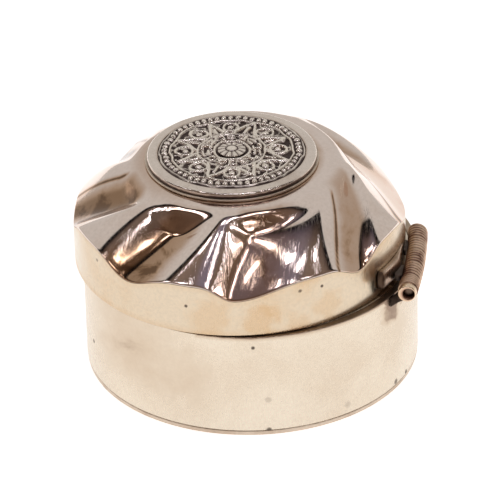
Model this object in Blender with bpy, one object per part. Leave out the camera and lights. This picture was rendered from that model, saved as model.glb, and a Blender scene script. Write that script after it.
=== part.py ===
"""Round hinged pill box: a plain drum, a swirl-fluted domed lid and a cast sun medallion.

Everything is in metres, +Z up. The origin is the centre of the drum's flat underside.
The hinge lies at +Y with its straight pin along X, and the lid opens upwards and back.
"""

import math

import bmesh
import bpy
import numpy as np

# Drum
BASE_RADIUS = 0.0200
BASE_WALL = 0.0009
BASE_TOP = 0.0135
FLOOR_THICKNESS = 0.0006
SEAT_INNER_RADIUS = 0.0174
SEAT_THICKNESS = 0.0008

# Lid: its axis stands a little in front of the drum's, which leaves a ledge for the hinge
LID_RADIUS = 0.01975
LID_WALL = 0.0009
LID_SHIFT_X = 0.0002
LID_SHIFT = 0.0012
LID_BOTTOM = 0.0136
CROWN_Z = 0.0259
DOME_START = 0.0108
DOME_FRONT = 0.0021
DOME_SOFT = 0.0012
FLUTE_DEPTH = 0.00175
FLUTE_START = 0.0120
FLUTE_RUN_IN = 0.0022
# Each flute's angle at the rim and how far it has turned where it starts, in degrees, and
# the height of the rim at the ridge that follows it
FLUTE_ANGLES = (5.5, 52.5, 103.0, 155.0, 201.0, 239.0, 278.9, 325.5)
FLUTE_SWIRLS = (13.0, 27.0, 27.0, 20.0, 14.0, 14.0, 18.0, 14.0)
RIDGE_ANGLES = (37.0, 68.0, 129.0, 178.0, 220.0, 259.0, 303.0, 350.0)
RIDGE_SWIRLS = (17.0, 25.0, 23.5, 17.0, 14.0, 16.0, 14.0, 10.0)
RIDGE_RIM_Z = (0.0202, 0.0207, 0.0189, 0.0194, 0.0205, 0.0192, 0.0205, 0.0200)

# Medallion, stacked on the crown
MEDALLION_X = 0.0002
MEDALLION_Y = -0.0019
SEAT_PLATE_RADIUS = 0.0103
SEAT_PLATE_THICKNESS = 0.00028
FRAME_RADIUS = 0.01005
FRAME_INNER = 0.00872
FRAME_HEIGHT = 0.00062
RELIEF_RADIUS = 0.00866
RELIEF_FLOOR = 0.00060
RELIEF_HEIGHT = 0.00038
BOSS_RADIUS = 0.00165

# Hinge: straight pin and bores inside a barrel whose outside bows slightly outwards
PIN_Y = 0.01995
PIN_Z = 0.0149
PIN_RADIUS = 0.0006
BORE_RADIUS = 0.00066
BARREL_RADIUS = 0.0012
BARREL_NEAR = 0.0109
BARREL_FAR = -0.0035
BARREL_BOW = 0.00032
BARREL_SET_BACK = 0.0002
COLLAR_LENGTH = 0.0009
COLLAR_RADIUS = 0.00108
KNUCKLES = 5
KNUCKLE_GAP = 0.00012
RIBS_PER_KNUCKLE = 5
RIB_DEPTH = 0.0001
BAR_START = 0.0023
BAR_END = 0.0099
BAR_BOTTOM = 0.0145
BAR_TOP = 0.0169
BAR_THICKNESS = 0.0008

# Soldered or seated faces stand this far apart
SEAM = 0.00005

ROUND = 88
SMALL_ROUND = 14


def clear_scene():
    """Removes every object that the scene already holds."""
    for obj in list(bpy.data.objects):
        bpy.data.objects.remove(obj, do_unlink=True)


def make_material(name, colour, roughness):
    """Returns a metallic Principled material."""
    material = bpy.data.materials.new(name)
    material.use_nodes = True
    shader = material.node_tree.nodes["Principled BSDF"]
    shader.inputs["Base Color"].default_value = (*colour, 1.0)
    shader.inputs["Roughness"].default_value = roughness
    shader.inputs["Metallic"].default_value = 1.0
    return material


def add_solid(name, verts, faces, material, location, parent=None):
    """Makes one closed body from points in the piece's own frame and places it."""
    mesh = bpy.data.meshes.new(name)
    mesh.from_pydata([tuple(v) for v in verts], [], faces)
    work = bmesh.new()
    work.from_mesh(mesh)
    bmesh.ops.recalc_face_normals(work, faces=work.faces)
    work.to_mesh(mesh)
    work.free()
    mesh.materials.append(material)
    mesh.shade_smooth()
    mesh.set_sharp_from_angle(angle=math.radians(32))
    obj = bpy.data.objects.new(name, mesh)
    bpy.context.scene.collection.objects.link(obj)
    obj.parent = parent
    base = parent.location if parent else (0.0, 0.0, 0.0)
    obj.location = [location[i] - base[i] for i in range(3)]
    return obj


def band_faces(count, segments, closed):
    """Quads between neighbouring rings of points; closed also joins the last ring to the first."""
    faces = []
    for ring in range(count if closed else count - 1):
        here = ring * segments
        there = ((ring + 1) % count) * segments
        for i in range(segments):
            j = (i + 1) % segments
            faces.append((here + i, here + j, there + j, there + i))
    return faces


def ring_body(rings):
    """A body whose rings close on themselves, such as a hoop or a tube with a bore."""
    rings = np.asarray(rings)
    count, segments, _ = rings.shape
    return rings.reshape(-1, 3), band_faces(count, segments, True)


def disc_body(rings, top, bottom):
    """A body without a hole: rings from the top centre outwards and back to the bottom centre."""
    rings = np.asarray(rings)
    count, segments, _ = rings.shape
    verts = np.vstack([rings.reshape(-1, 3), top, bottom])
    faces = band_faces(count, segments, False)
    last = (count - 1) * segments
    for i in range(segments):
        j = (i + 1) % segments
        faces.append((i, j, count * segments))
        faces.append((last + j, last + i, count * segments + 1))
    return verts, faces


def circle(radius, z, segments=ROUND):
    """Points of a level circle about the local Z axis."""
    angle = np.linspace(0.0, 2.0 * math.pi, segments, endpoint=False)
    return np.stack([radius * np.cos(angle), radius * np.sin(angle), np.full(segments, z)], axis=1)


def turned(profile, segments=ROUND):
    """Rings of a turned shape from (radius, height) pairs."""
    return [circle(radius, z, segments) for radius, z in profile]


def smooth_step(value):
    """Rises from 0 to 1 with level ends."""
    value = np.clip(value, 0.0, 1.0)
    return value * value * (3.0 - 2.0 * value)


def flute_phase(radius, angle):
    """Phase about the lid's axis that is a multiple of 2 pi along the bottom of each flute.

    It is an odd multiple of pi along each ridge. Flutes and ridges run outwards while they
    turn back by their own swirl. A few rounds of the fixed point find the rim angle of the
    line that passes through the place asked for.
    """
    angles = np.stack([FLUTE_ANGLES, RIDGE_ANGLES], axis=1).ravel()
    turns = np.stack([FLUTE_SWIRLS, RIDGE_SWIRLS], axis=1).ravel()
    marks = np.radians(np.append(angles, angles[0] + 360.0))
    swirls = np.radians(np.append(turns, turns[0]))
    out = np.clip((radius - 0.013) / (LID_RADIUS - 0.013), 0.0, 1.0)
    at_rim = angle
    for _ in range(14):
        wrapped = (at_rim - marks[0]) % (2.0 * math.pi) + marks[0]
        at_rim = angle - np.interp(wrapped, marks, swirls) * (1.0 - out) ** 1.4
    wrapped = (at_rim - marks[0]) % (2.0 * math.pi) + marks[0]
    return math.pi * np.interp(wrapped, marks, np.arange(len(marks)))


def dome_height(radius, angle):
    """Height of the crown's outer surface: a nearly conical dome with eight swirled flutes.

    The dome is level in the middle, further out on the +X side, and falls as a softened
    cone to a rim whose height goes smoothly from each ridge's own to the next one's. Where
    the rim is low the dome is fuller above it. The ridges are sharper on the hinge side,
    and the flutes narrow to U-shaped dips in the rim on the +X side.
    """
    phase = flute_phase(radius, angle)
    ridges = np.array(RIDGE_RIM_Z)
    place = phase / (2.0 * math.pi) - 0.5
    step = np.floor(place).astype(int)
    rise = smooth_step(place - step)
    rim = ridges[step % len(ridges)] * (1.0 - rise) + ridges[(step + 1) % len(ridges)] * rise
    start = DOME_START + DOME_FRONT * smooth_step(1.6 * np.cos(angle - 0.75) - 0.6)
    run = np.clip(radius - start, 0.0, None)
    whole = LID_RADIUS - start
    fall = np.hypot(run, DOME_SOFT) - DOME_SOFT
    fall = fall / (np.hypot(whole, DOME_SOFT) - DOME_SOFT)
    full = 1.05 + 330.0 * np.clip(0.0203 - rim, 0.0, None)
    ridge = CROWN_Z - (CROWN_Z - rim) * fall**full
    out = np.clip((radius - 0.013) / (LID_RADIUS - 0.013), 0.0, 1.0)
    narrow = out**2 * smooth_step(0.5 + 1.1 * np.cos(angle + 0.1))
    sharp = 0.36 * smooth_step(1.3 * np.cos(angle - 1.35) - 0.2)
    trough = (0.5 + 0.5 * np.cos(phase)) ** (0.88 - sharp + narrow)
    depth = FLUTE_DEPTH * smooth_step((radius - FLUTE_START) / FLUTE_RUN_IN)
    return ridge - depth * trough


def rim_edge():
    """Points of the scalloped edge where the crown meets the plain band."""
    ring = circle(LID_RADIUS, 0.0)
    angle = np.linspace(0.0, 2.0 * math.pi, ROUND, endpoint=False)
    ring[:, 2] = dome_height(np.full(ROUND, LID_RADIUS), angle)
    return ring


def make_base(finish):
    """The drum: bottom plate, wall and the seat ring that the lid's edge rests on."""
    bottom = turned([(BASE_RADIUS, FLOOR_THICKNESS), (BASE_RADIUS, 0.0)])
    verts, faces = disc_body(bottom, (0.0, 0.0, FLOOR_THICKNESS), (0.0, 0.0, 0.0))
    add_solid("base_floor", verts, faces, finish["plate"], (0.0, 0.0, 0.0))

    inner = BASE_RADIUS - BASE_WALL
    height = BASE_TOP - FLOOR_THICKNESS - SEAM
    soft = 0.00008
    wall = [
        (BASE_RADIUS, 0.0),
        (BASE_RADIUS, height - soft),
        (BASE_RADIUS - soft, height),
        (inner, height),
        (inner, 0.0),
    ]
    verts, faces = ring_body(turned(wall))
    add_solid("base_wall", verts, faces, finish["drum"], (0.0, 0.0, FLOOR_THICKNESS + SEAM))

    outer = inner - SEAM
    seat = [
        (outer, 0.0),
        (outer, SEAT_THICKNESS),
        (SEAT_INNER_RADIUS, SEAT_THICKNESS),
        (SEAT_INNER_RADIUS, 0.0),
    ]
    verts, faces = ring_body(turned(seat))
    add_solid("base_seat_ring", verts, faces, finish["drum"], (0.0, 0.0, BASE_TOP - SEAT_THICKNESS))


def make_lid(finish, pivot):
    """The lid's plain band with its scalloped top edge, and the fluted crown standing on it."""
    inner = LID_RADIUS - LID_WALL
    edge = rim_edge()
    edge[:, 2] -= LID_BOTTOM
    top_inner = edge.copy()
    top_inner[:, :2] *= inner / LID_RADIUS
    soft = 0.00015
    band = [
        circle(inner, 0.0),
        circle(LID_RADIUS - soft, 0.0),
        circle(LID_RADIUS, soft),
        edge,
        top_inner,
    ]
    verts, faces = ring_body(band)
    foot = (LID_SHIFT_X, -LID_SHIFT, LID_BOTTOM)
    add_solid("lid_band", verts, faces, finish["band"], foot, pivot)

    angle = np.linspace(0.0, 2.0 * math.pi, ROUND, endpoint=False)
    outside = []
    for share in (0.5, 0.575, 0.61, 0.65, 0.69, 0.735, 0.79, 0.85, 0.91, 0.96, 1.0):
        radius = share * LID_RADIUS
        ring = circle(radius, 0.0)
        ring[:, 2] = dome_height(np.full(ROUND, radius), angle) + SEAM
        outside.append(ring)
    inside = []
    for share in (1.0, 0.95, 0.87, 0.78, 0.7, 0.63, 0.56, 0.4):
        radius = share * LID_RADIUS
        ring = circle(share * inner, 0.0)
        drop = 0.0008 * (1.0 - share**8)
        ring[:, 2] = dome_height(np.full(ROUND, radius), angle) + SEAM - drop
        inside.append(ring)
    verts, faces = disc_body(
        outside + inside, (0.0, 0.0, CROWN_Z + SEAM), (0.0, 0.0, CROWN_Z + SEAM - 0.0008)
    )
    verts[:, 2] -= LID_BOTTOM
    add_solid("lid_crown", verts, faces, finish["crown"], foot, pivot)


def relief_height(radius, angle):
    """Sun-disc relief: a rosette, eight pointed rays, two block rings and an outer bead ring."""
    share = radius / RELIEF_RADIUS
    eight = np.abs((angle * 8.0 / (2.0 * math.pi)) % 1.0 - 0.5) * 2.0
    rays = (share > 0.42) & (share < 0.8) & (eight > 0.42 + 0.9 * (share - 0.42))
    ring = (np.abs(share - 0.38) < 0.035) | (np.abs(share - 0.84) < 0.02)
    beads = (share > 0.9) & (share < 0.97) & (np.sin(angle * 30.0) > -0.2)
    return np.where(rays | ring | beads, 1.0, 0.12)


def make_medallion(finish, pivot):
    """Seat plate, rounded frame ring, cast relief disc and its centre boss."""
    z = CROWN_Z + 2.0 * SEAM
    centre = (MEDALLION_X, MEDALLION_Y)
    plate = turned([(SEAT_PLATE_RADIUS, SEAT_PLATE_THICKNESS), (SEAT_PLATE_RADIUS, 0.0)])
    verts, faces = disc_body(plate, (0.0, 0.0, SEAT_PLATE_THICKNESS), (0.0, 0.0, 0.0))
    add_solid("medallion_seat_plate", verts, faces, finish["plate"], (*centre, z), pivot)

    z += SEAT_PLATE_THICKNESS + SEAM
    soft = 0.00022
    frame = [
        (FRAME_INNER, 0.0),
        (FRAME_RADIUS - soft, 0.0),
        (FRAME_RADIUS, soft),
        (FRAME_RADIUS, FRAME_HEIGHT - 1.6 * soft),
        (FRAME_RADIUS - 0.5 * soft, FRAME_HEIGHT - 0.5 * soft),
        (FRAME_RADIUS - 1.6 * soft, FRAME_HEIGHT),
        (FRAME_INNER + 0.4 * soft, FRAME_HEIGHT),
        (FRAME_INNER, FRAME_HEIGHT - 0.4 * soft),
    ]
    verts, faces = ring_body(turned(frame))
    add_solid("medallion_frame", verts, faces, finish["frame"], (*centre, z), pivot)

    segments = 64
    angle = np.linspace(0.0, 2.0 * math.pi, segments, endpoint=False)
    rings = []
    for share in (0.24, 0.335, 0.35, 0.41, 0.425, 0.6, 0.79, 0.815, 0.855, 0.895, 0.91, 0.96, 1.0):
        radius = share * RELIEF_RADIUS
        ring = circle(radius, 0.0, segments)
        height = relief_height(np.full(segments, radius), angle)
        ring[:, 2] = RELIEF_FLOOR + RELIEF_HEIGHT * height
        rings.append(ring)
    rings.append(circle(RELIEF_RADIUS, 0.0, segments))
    floor_top = RELIEF_FLOOR + RELIEF_HEIGHT * 0.12
    verts, faces = disc_body(rings, (0.0, 0.0, floor_top), (0.0, 0.0, 0.0))
    add_solid("medallion_relief", verts, faces, finish["relief"], (*centre, z), pivot)

    z += floor_top + SEAM
    boss = turned(
        [
            (0.5 * BOSS_RADIUS, 0.00046),
            (0.85 * BOSS_RADIUS, 0.00034),
            (BOSS_RADIUS, 0.00014),
            (BOSS_RADIUS, 0.0),
        ],
        28,
    )
    verts, faces = disc_body(boss, (0.0, 0.0, 0.0005), (0.0, 0.0, 0.0))
    add_solid("medallion_boss", verts, faces, finish["relief"], (*centre, z), pivot)


def barrel_centre(x):
    """Y of the barrel's outer surface axis: it bows outwards between its two ends."""
    middle = 0.5 * (BARREL_NEAR + BARREL_FAR)
    half = 0.5 * (BARREL_NEAR - BARREL_FAR)
    return PIN_Y - BARREL_SET_BACK + BARREL_BOW * (1.0 - ((x - middle) / half) ** 2)


def hinge_ring(x, radius, centre_y):
    """Points of a circle that faces along X, about the pin or about the barrel's own axis."""
    angle = np.linspace(0.0, 2.0 * math.pi, SMALL_ROUND, endpoint=False)
    return np.stack(
        [
            np.full(SMALL_ROUND, x),
            centre_y - PIN_Y + radius * np.cos(angle),
            radius * np.sin(angle),
        ],
        axis=1,
    )


def knuckle_span(index):
    """X limits of a knuckle, counted from the near end."""
    length = (BARREL_NEAR - BARREL_FAR - (KNUCKLES - 1) * KNUCKLE_GAP) / KNUCKLES
    high = BARREL_NEAR - index * (length + KNUCKLE_GAP)
    return high - length, high


def knuckle_rings(index):
    """Ribbed outside from low X to high X, then the straight bore back."""
    low, high = knuckle_span(index)
    collar = COLLAR_LENGTH if index == 0 else 0.0
    pitch = (high - collar - low) / RIBS_PER_KNUCKLE
    rings = []
    for rib in range(RIBS_PER_KNUCKLE):
        start = low + rib * pitch
        for step, cut in ((0.0, RIB_DEPTH), (0.3, 0.0), (0.7, 0.0)):
            x = start + step * pitch
            rings.append(hinge_ring(x, BARREL_RADIUS - cut, barrel_centre(x)))
    if collar:
        x = high - collar
        rings.append(hinge_ring(x, COLLAR_RADIUS, barrel_centre(x)))
        rings.append(hinge_ring(high - 0.00015, COLLAR_RADIUS, barrel_centre(high)))
        rings.append(hinge_ring(high, COLLAR_RADIUS - 0.00012, barrel_centre(high)))
    else:
        rings.append(hinge_ring(high, BARREL_RADIUS - RIB_DEPTH, barrel_centre(high)))
    bore = BORE_RADIUS / math.cos(math.pi / SMALL_ROUND)
    rings.append(hinge_ring(high, bore, PIN_Y))
    rings.append(hinge_ring(low, bore, PIN_Y))
    return rings


def base_wall_y(x):
    """Y of the drum's outer surface."""
    return math.sqrt(BASE_RADIUS**2 - x * x)


def lid_wall_y(x):
    """Y of the lid band's outer surface."""
    return math.sqrt(LID_RADIUS**2 - (x - LID_SHIFT_X) ** 2) - LID_SHIFT


def bar_thickness(x):
    """The lid's hinge bar is a wedge that thins towards the place where the barrel touches."""
    room = PIN_Y - BARREL_RADIUS - 0.00024 - lid_wall_y(x)
    return min(BAR_THICKNESS, room)


def extruded_along_x(sections):
    """A solid from a list of equal-length (y, z) outlines at rising X, closed by end faces."""
    verts = []
    for x, outline in sections:
        verts += [(x, y - PIN_Y, z - PIN_Z) for y, z in outline]
    size = len(sections[0][1])
    faces = band_faces(len(sections), size, False)
    faces.append(tuple(range(size)))
    faces.append(tuple(range(len(verts) - size, len(verts))))
    return np.array(verts), faces


def base_foot_outline(x):
    """Solder fillet under the barrel, from the drum's outer wall round to the barrel's outside."""
    wall = base_wall_y(x) + SEAM
    centre = barrel_centre(x)
    reach = BARREL_RADIUS + SEAM
    across = (wall - centre) / reach
    start = math.radians(218.0)
    if across > math.cos(start):
        start = 2.0 * math.pi - math.acos(across)
    end = math.radians(300.0)
    outline = [(wall, 0.0121), (wall, min(0.01345, PIN_Z + reach * math.sin(start)))]
    for angle in np.linspace(start, end, 6):
        outline.append((centre + reach * math.cos(angle), PIN_Z + reach * math.sin(angle)))
    outline.append((wall + 0.35 * (outline[-1][0] - wall), 0.01285))
    return outline


def lid_foot_outline(x):
    """Solder run in the gap between the barrel and the lid's band or its hinge bar."""
    wall = lid_wall_y(x) + SEAM
    if x > BAR_START:
        wall += bar_thickness(x) + SEAM
    centre = barrel_centre(x)
    reach = BARREL_RADIUS + SEAM
    outline = [(wall, 0.01575), (wall, 0.01465)]
    for angle in np.radians(np.linspace(190.0, 148.0, 6)):
        outline.append((centre + reach * math.cos(angle), PIN_Z + reach * math.sin(angle)))
    return outline


def make_hinge(finish, pivot):
    """Five ribbed knuckles, the pin through them, their solder feet and the lid's hinge bar."""
    pin_at = (0.0, PIN_Y, PIN_Z)
    names = {
        0: ("base_knuckle_near", "base_foot_near", None),
        1: ("lid_knuckle_near", "lid_foot_near", pivot),
        2: ("base_knuckle_middle", "base_foot_middle", None),
        3: ("lid_knuckle_far", "lid_foot_far", pivot),
        4: ("base_knuckle_far", "base_foot_far", None),
    }
    for index, (knuckle, foot, parent) in names.items():
        verts, faces = ring_body(knuckle_rings(index))
        add_solid(knuckle, verts, faces, finish["barrel"], pin_at, parent)
        low, high = knuckle_span(index)
        margin = 0.0002
        outline = lid_foot_outline if parent else base_foot_outline
        stations = np.linspace(low + margin, high - margin, 5)
        verts, faces = extruded_along_x([(x, outline(x)) for x in stations])
        add_solid(foot, verts, faces, finish["solder"], pin_at, parent)

    near = hinge_ring(BARREL_NEAR - 0.0007, PIN_RADIUS, PIN_Y)
    far = hinge_ring(BARREL_FAR + 0.0002, PIN_RADIUS, PIN_Y)
    verts, faces = disc_body(
        [near, far],
        (BARREL_NEAR - 0.00058, 0.0, 0.0),
        (BARREL_FAR + 0.0001, 0.0, 0.0),
    )
    add_solid("hinge_pin", verts, faces, finish["pin"], pin_at)

    sections = []
    for x in np.linspace(BAR_START, BAR_END, 10):
        inner = lid_wall_y(x) + SEAM
        outer = inner + bar_thickness(x) - SEAM
        outline = [(inner, BAR_BOTTOM), (inner, BAR_TOP), (outer, BAR_TOP), (outer, BAR_BOTTOM)]
        sections.append((x, outline))
    verts, faces = extruded_along_x(sections)
    add_solid("lid_hinge_bar", verts, faces, finish["solder"], pin_at, pivot)


def main():
    """Builds the box, closed."""
    clear_scene()
    finish = {
        "drum": make_material("satin_silver", (0.86, 0.79, 0.69), 0.22),
        "plate": make_material("plate_silver", (0.74, 0.67, 0.58), 0.3),
        "band": make_material("warm_silver", (0.86, 0.76, 0.62), 0.2),
        "crown": make_material("polished_silver", (0.84, 0.78, 0.72), 0.06),
        "frame": make_material("frame_silver", (0.82, 0.76, 0.68), 0.15),
        "relief": make_material("oxidised_silver", (0.5, 0.46, 0.42), 0.35),
        "barrel": make_material("tarnished_barrel", (0.5, 0.36, 0.28), 0.35),
        "solder": make_material("grey_solder", (0.42, 0.36, 0.32), 0.45),
        "pin": make_material("dark_pin", (0.3, 0.27, 0.24), 0.4),
    }
    pivot = bpy.data.objects.new("lid_pivot", None)
    bpy.context.scene.collection.objects.link(pivot)
    pivot.location = (0.0, PIN_Y, PIN_Z)
    make_base(finish)
    make_lid(finish, pivot)
    make_medallion(finish, pivot)
    make_hinge(finish, pivot)


main()
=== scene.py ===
"""Silver pill box with a swirl-fluted lid: its worked surfaces, finishes, light and camera."""

import logging
import math
from collections.abc import Callable, Sequence
from dataclasses import dataclass, field
from enum import Enum
from typing import Any

import bpy
import numpy as np
from mathutils import Matrix, Vector


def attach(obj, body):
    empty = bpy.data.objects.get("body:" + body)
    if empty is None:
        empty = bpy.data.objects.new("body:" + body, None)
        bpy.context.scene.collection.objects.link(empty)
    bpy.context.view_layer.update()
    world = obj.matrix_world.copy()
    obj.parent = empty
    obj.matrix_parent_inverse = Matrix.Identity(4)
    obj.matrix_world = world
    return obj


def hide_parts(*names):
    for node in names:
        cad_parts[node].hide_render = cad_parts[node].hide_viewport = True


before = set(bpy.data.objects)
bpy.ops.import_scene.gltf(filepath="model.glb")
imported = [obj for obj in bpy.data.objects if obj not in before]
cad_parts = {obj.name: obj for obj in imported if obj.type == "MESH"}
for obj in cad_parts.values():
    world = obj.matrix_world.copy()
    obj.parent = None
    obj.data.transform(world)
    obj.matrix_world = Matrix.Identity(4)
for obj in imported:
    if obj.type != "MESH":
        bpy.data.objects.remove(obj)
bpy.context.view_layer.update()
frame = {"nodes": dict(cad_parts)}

LOG = logging.getLogger("pill_box")
TAU = 2.0 * math.pi
MM = 0.001

# Sizes that several sub-assemblies share, in metres.
DRUM_RADIUS = 0.0200
LID_RADIUS = 0.01975
LID_CENTRE = (0.0002, -0.0012)
MEDALLION_CENTRE = (0.0002, -0.0019)
SEAM = 0.00005

Array = np.ndarray
Colour = tuple[float, float, float]
Socket = bpy.types.NodeSocket


class Body(Enum):
    """The two moving bodies of the box."""

    BASE = "box_base"
    LID = "box_lid"


class Mark(Enum):
    """Values kept on a surface's points for its finish to read."""

    # Tarnish share; on some surfaces it also carries painted shade: painted shadows and painted
    # dark reflection lines.
    TARNISH = "tarnish"


# ---------------------------------------------------------------- shape helpers


def smooth_step(value: Array) -> Array:
    """Rises from 0 to 1 with level ends.

    Args:
        value: Any numbers; below 0 gives 0 and above 1 gives 1.

    Returns:
        3v^2 - 2v^3 of the clipped value.
    """
    value = np.clip(value, 0.0, 1.0)
    return value * value * (3.0 - 2.0 * value)


def round_angles(segments: int) -> Array:
    """Evenly spaced angles of a full turn, without the repeated last one."""
    return np.linspace(0.0, TAU, segments, endpoint=False)


def around(rows: Array, segments: int) -> tuple[Array, Array]:
    """The row's value and the angle at each place of a grid of rows by segments.

    Args:
        rows: One value for each ring, such as its radius.
        segments: Points in each ring.

    Returns:
        The values and the angles, each as row by segment.
    """
    values = np.repeat(rows[:, None], segments, axis=1)
    return values, np.repeat(round_angles(segments)[None, :], len(rows), axis=0)


def box(low: tuple[float, float], high: tuple[float, float]) -> list[tuple[float, float]]:
    """The four corners of a rectangle, from its low corner along the first axis."""
    return [low, (high[0], low[1]), high, (low[0], high[1])]


def unevenness(angle: Array, level: Array, seed: int, depth: float, turns: int = 9,
               climb: float = 420.0) -> Array:
    """Slow dents of a hand-beaten wall.

    Formula: a weighted sum of fourteen sine waves, each with a whole number of waves round
    the wall, a random climb and a random phase, scaled to the wanted depth.

    Args:
        angle: Angle about the axis, in radians.
        level: Place along the wall, in metres.
        seed: Seed of the random waves.
        depth: Largest rise, in metres.
        turns: One more than the most waves round the wall.
        climb: Steepest climb of a wave along the wall, in radians per metre.

    Returns:
        Rise of the surface at each place, in metres.
    """
    rng = np.random.default_rng(seed)
    around = rng.integers(1, turns, 14)
    climbs = rng.uniform(-climb, climb, 14)
    phases = rng.uniform(0.0, TAU, 14)
    weights = rng.uniform(0.4, 1.0, 14) / (1.0 + 0.15 * around)
    waves = np.sin(around * angle[..., None] + climbs * level[..., None] + phases)
    return depth * (waves * weights).sum(-1) / weights.sum()


def value_noise(x: Array, y: Array, seed: int) -> Array:
    """Smooth random field with one random value at each whole-number place.

    Formula: the four nearest lattice values, blended with smooth steps along x and y.

    Args:
        x: First coordinate, in lattice steps.
        y: Second coordinate, in lattice steps.
        seed: Seed of the lattice.

    Returns:
        Values from -1 to 1.
    """
    size = 64
    lattice = np.random.default_rng(seed).uniform(-1.0, 1.0, (size, size))
    left = np.floor(x).astype(int)
    low = np.floor(y).astype(int)
    across = smooth_step(x - left)
    up = smooth_step(y - low)
    bottom = lattice[left % size, low % size] * (1.0 - across)
    bottom = bottom + lattice[(left + 1) % size, low % size] * across
    top = lattice[left % size, (low + 1) % size] * (1.0 - across)
    top = top + lattice[(left + 1) % size, (low + 1) % size] * across
    return bottom * (1.0 - up) + top * up


def grid_faces(rings: int, segments: int, closed: bool) -> Array:
    """Quads between neighbouring rings of points.

    Args:
        rings: Number of rings.
        segments: Points in each ring; a ring always closes on itself.
        closed: Whether the last ring is joined to the first.

    Returns:
        Rows of four point numbers.
    """
    ring = np.arange(rings if closed else rings - 1)
    row, column = np.meshgrid(ring, np.arange(segments), indexing="ij")
    beside = (column + 1) % segments
    above = (row + 1) % rings
    corners = (
        row * segments + column,
        row * segments + beside,
        above * segments + beside,
        above * segments + column,
    )
    return np.stack(corners, axis=-1).reshape(-1, 4)


def rounded_outline(corners: Sequence[tuple[float, float]], radii: Sequence[float],
                    steps: int = 6) -> Array:
    """A closed outline whose corners are rounded.

    Formula: each corner becomes a quadratic curve that starts and ends at the given distance
    before and after it.

    Args:
        corners: Corners in order.
        radii: Distance given up on both sides of each corner.
        steps: Points on each curve.

    Returns:
        Points of the outline, one row each.
    """
    middle = np.asarray(corners, float)
    reach = np.asarray(radii, float)[:, None]
    before = np.roll(middle, 1, axis=0) - middle
    after = np.roll(middle, -1, axis=0) - middle
    start = middle + reach * before / np.linalg.norm(before, axis=1, keepdims=True)
    end = middle + reach * after / np.linalg.norm(after, axis=1, keepdims=True)
    t = np.linspace(0.0, 1.0, steps)[None, :, None]
    curve = (
        (1.0 - t) ** 2 * start[:, None]
        + 2.0 * t * (1.0 - t) * middle[:, None]
        + t**2 * end[:, None]
    )
    return curve.reshape(-1, 2)


def filled_outline(outline: Array, pitch: float) -> Array:
    """The same closed outline with extra points on its long sides.

    Args:
        outline: Points of a closed outline, one row each.
        pitch: Largest distance between neighbours, in metres.

    Returns:
        Points of the refined outline.
    """
    ends = np.roll(outline, -1, axis=0)
    length = np.linalg.norm(ends - outline, axis=1)
    parts = np.maximum(1, np.ceil(length / pitch).astype(int))
    place = np.repeat(np.arange(len(outline)), parts)
    first = np.repeat(np.cumsum(parts) - parts, parts)
    share = (np.arange(len(place)) - first) / parts[place]
    return outline[place] + share[:, None] * (ends - outline)[place]


def plate_outline(radius: float, height: float, rounding: tuple[float, float],
                  pitch: float) -> Array:
    """Outline of a round plate: from the middle of its underside, round its edge and back.

    Args:
        radius: Outside radius.
        height: Thickness.
        rounding: Rounding of the lower and of the upper edge.
        pitch: Largest distance between neighbours.

    Returns:
        Rows of radius and height, which stop short of the axis at both ends.
    """
    sharp, hub = 0.000001, 0.0003
    outline = rounded_outline(box((0.0, 0.0), (radius, height)), [sharp, *rounding, sharp])
    outline = filled_outline(outline, pitch)
    outline = outline[outline[:, 0] > hub]
    start = int(np.argmin(outline[:, 0] + 10.0 * outline[:, 1]))
    return np.roll(outline, -start, axis=0)


def turned(outline: Array, segments: int) -> Array:
    """Rings of a turned shape about the Z axis.

    Args:
        outline: Rows of radius and height.
        segments: Points in each ring.

    Returns:
        Points as outline row by segment by coordinate.
    """
    radius, angle = around(outline[:, 0], segments)
    height = np.repeat(outline[:, 1, None], segments, axis=1)
    return np.stack([radius * np.cos(angle), radius * np.sin(angle), height], axis=-1)


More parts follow.
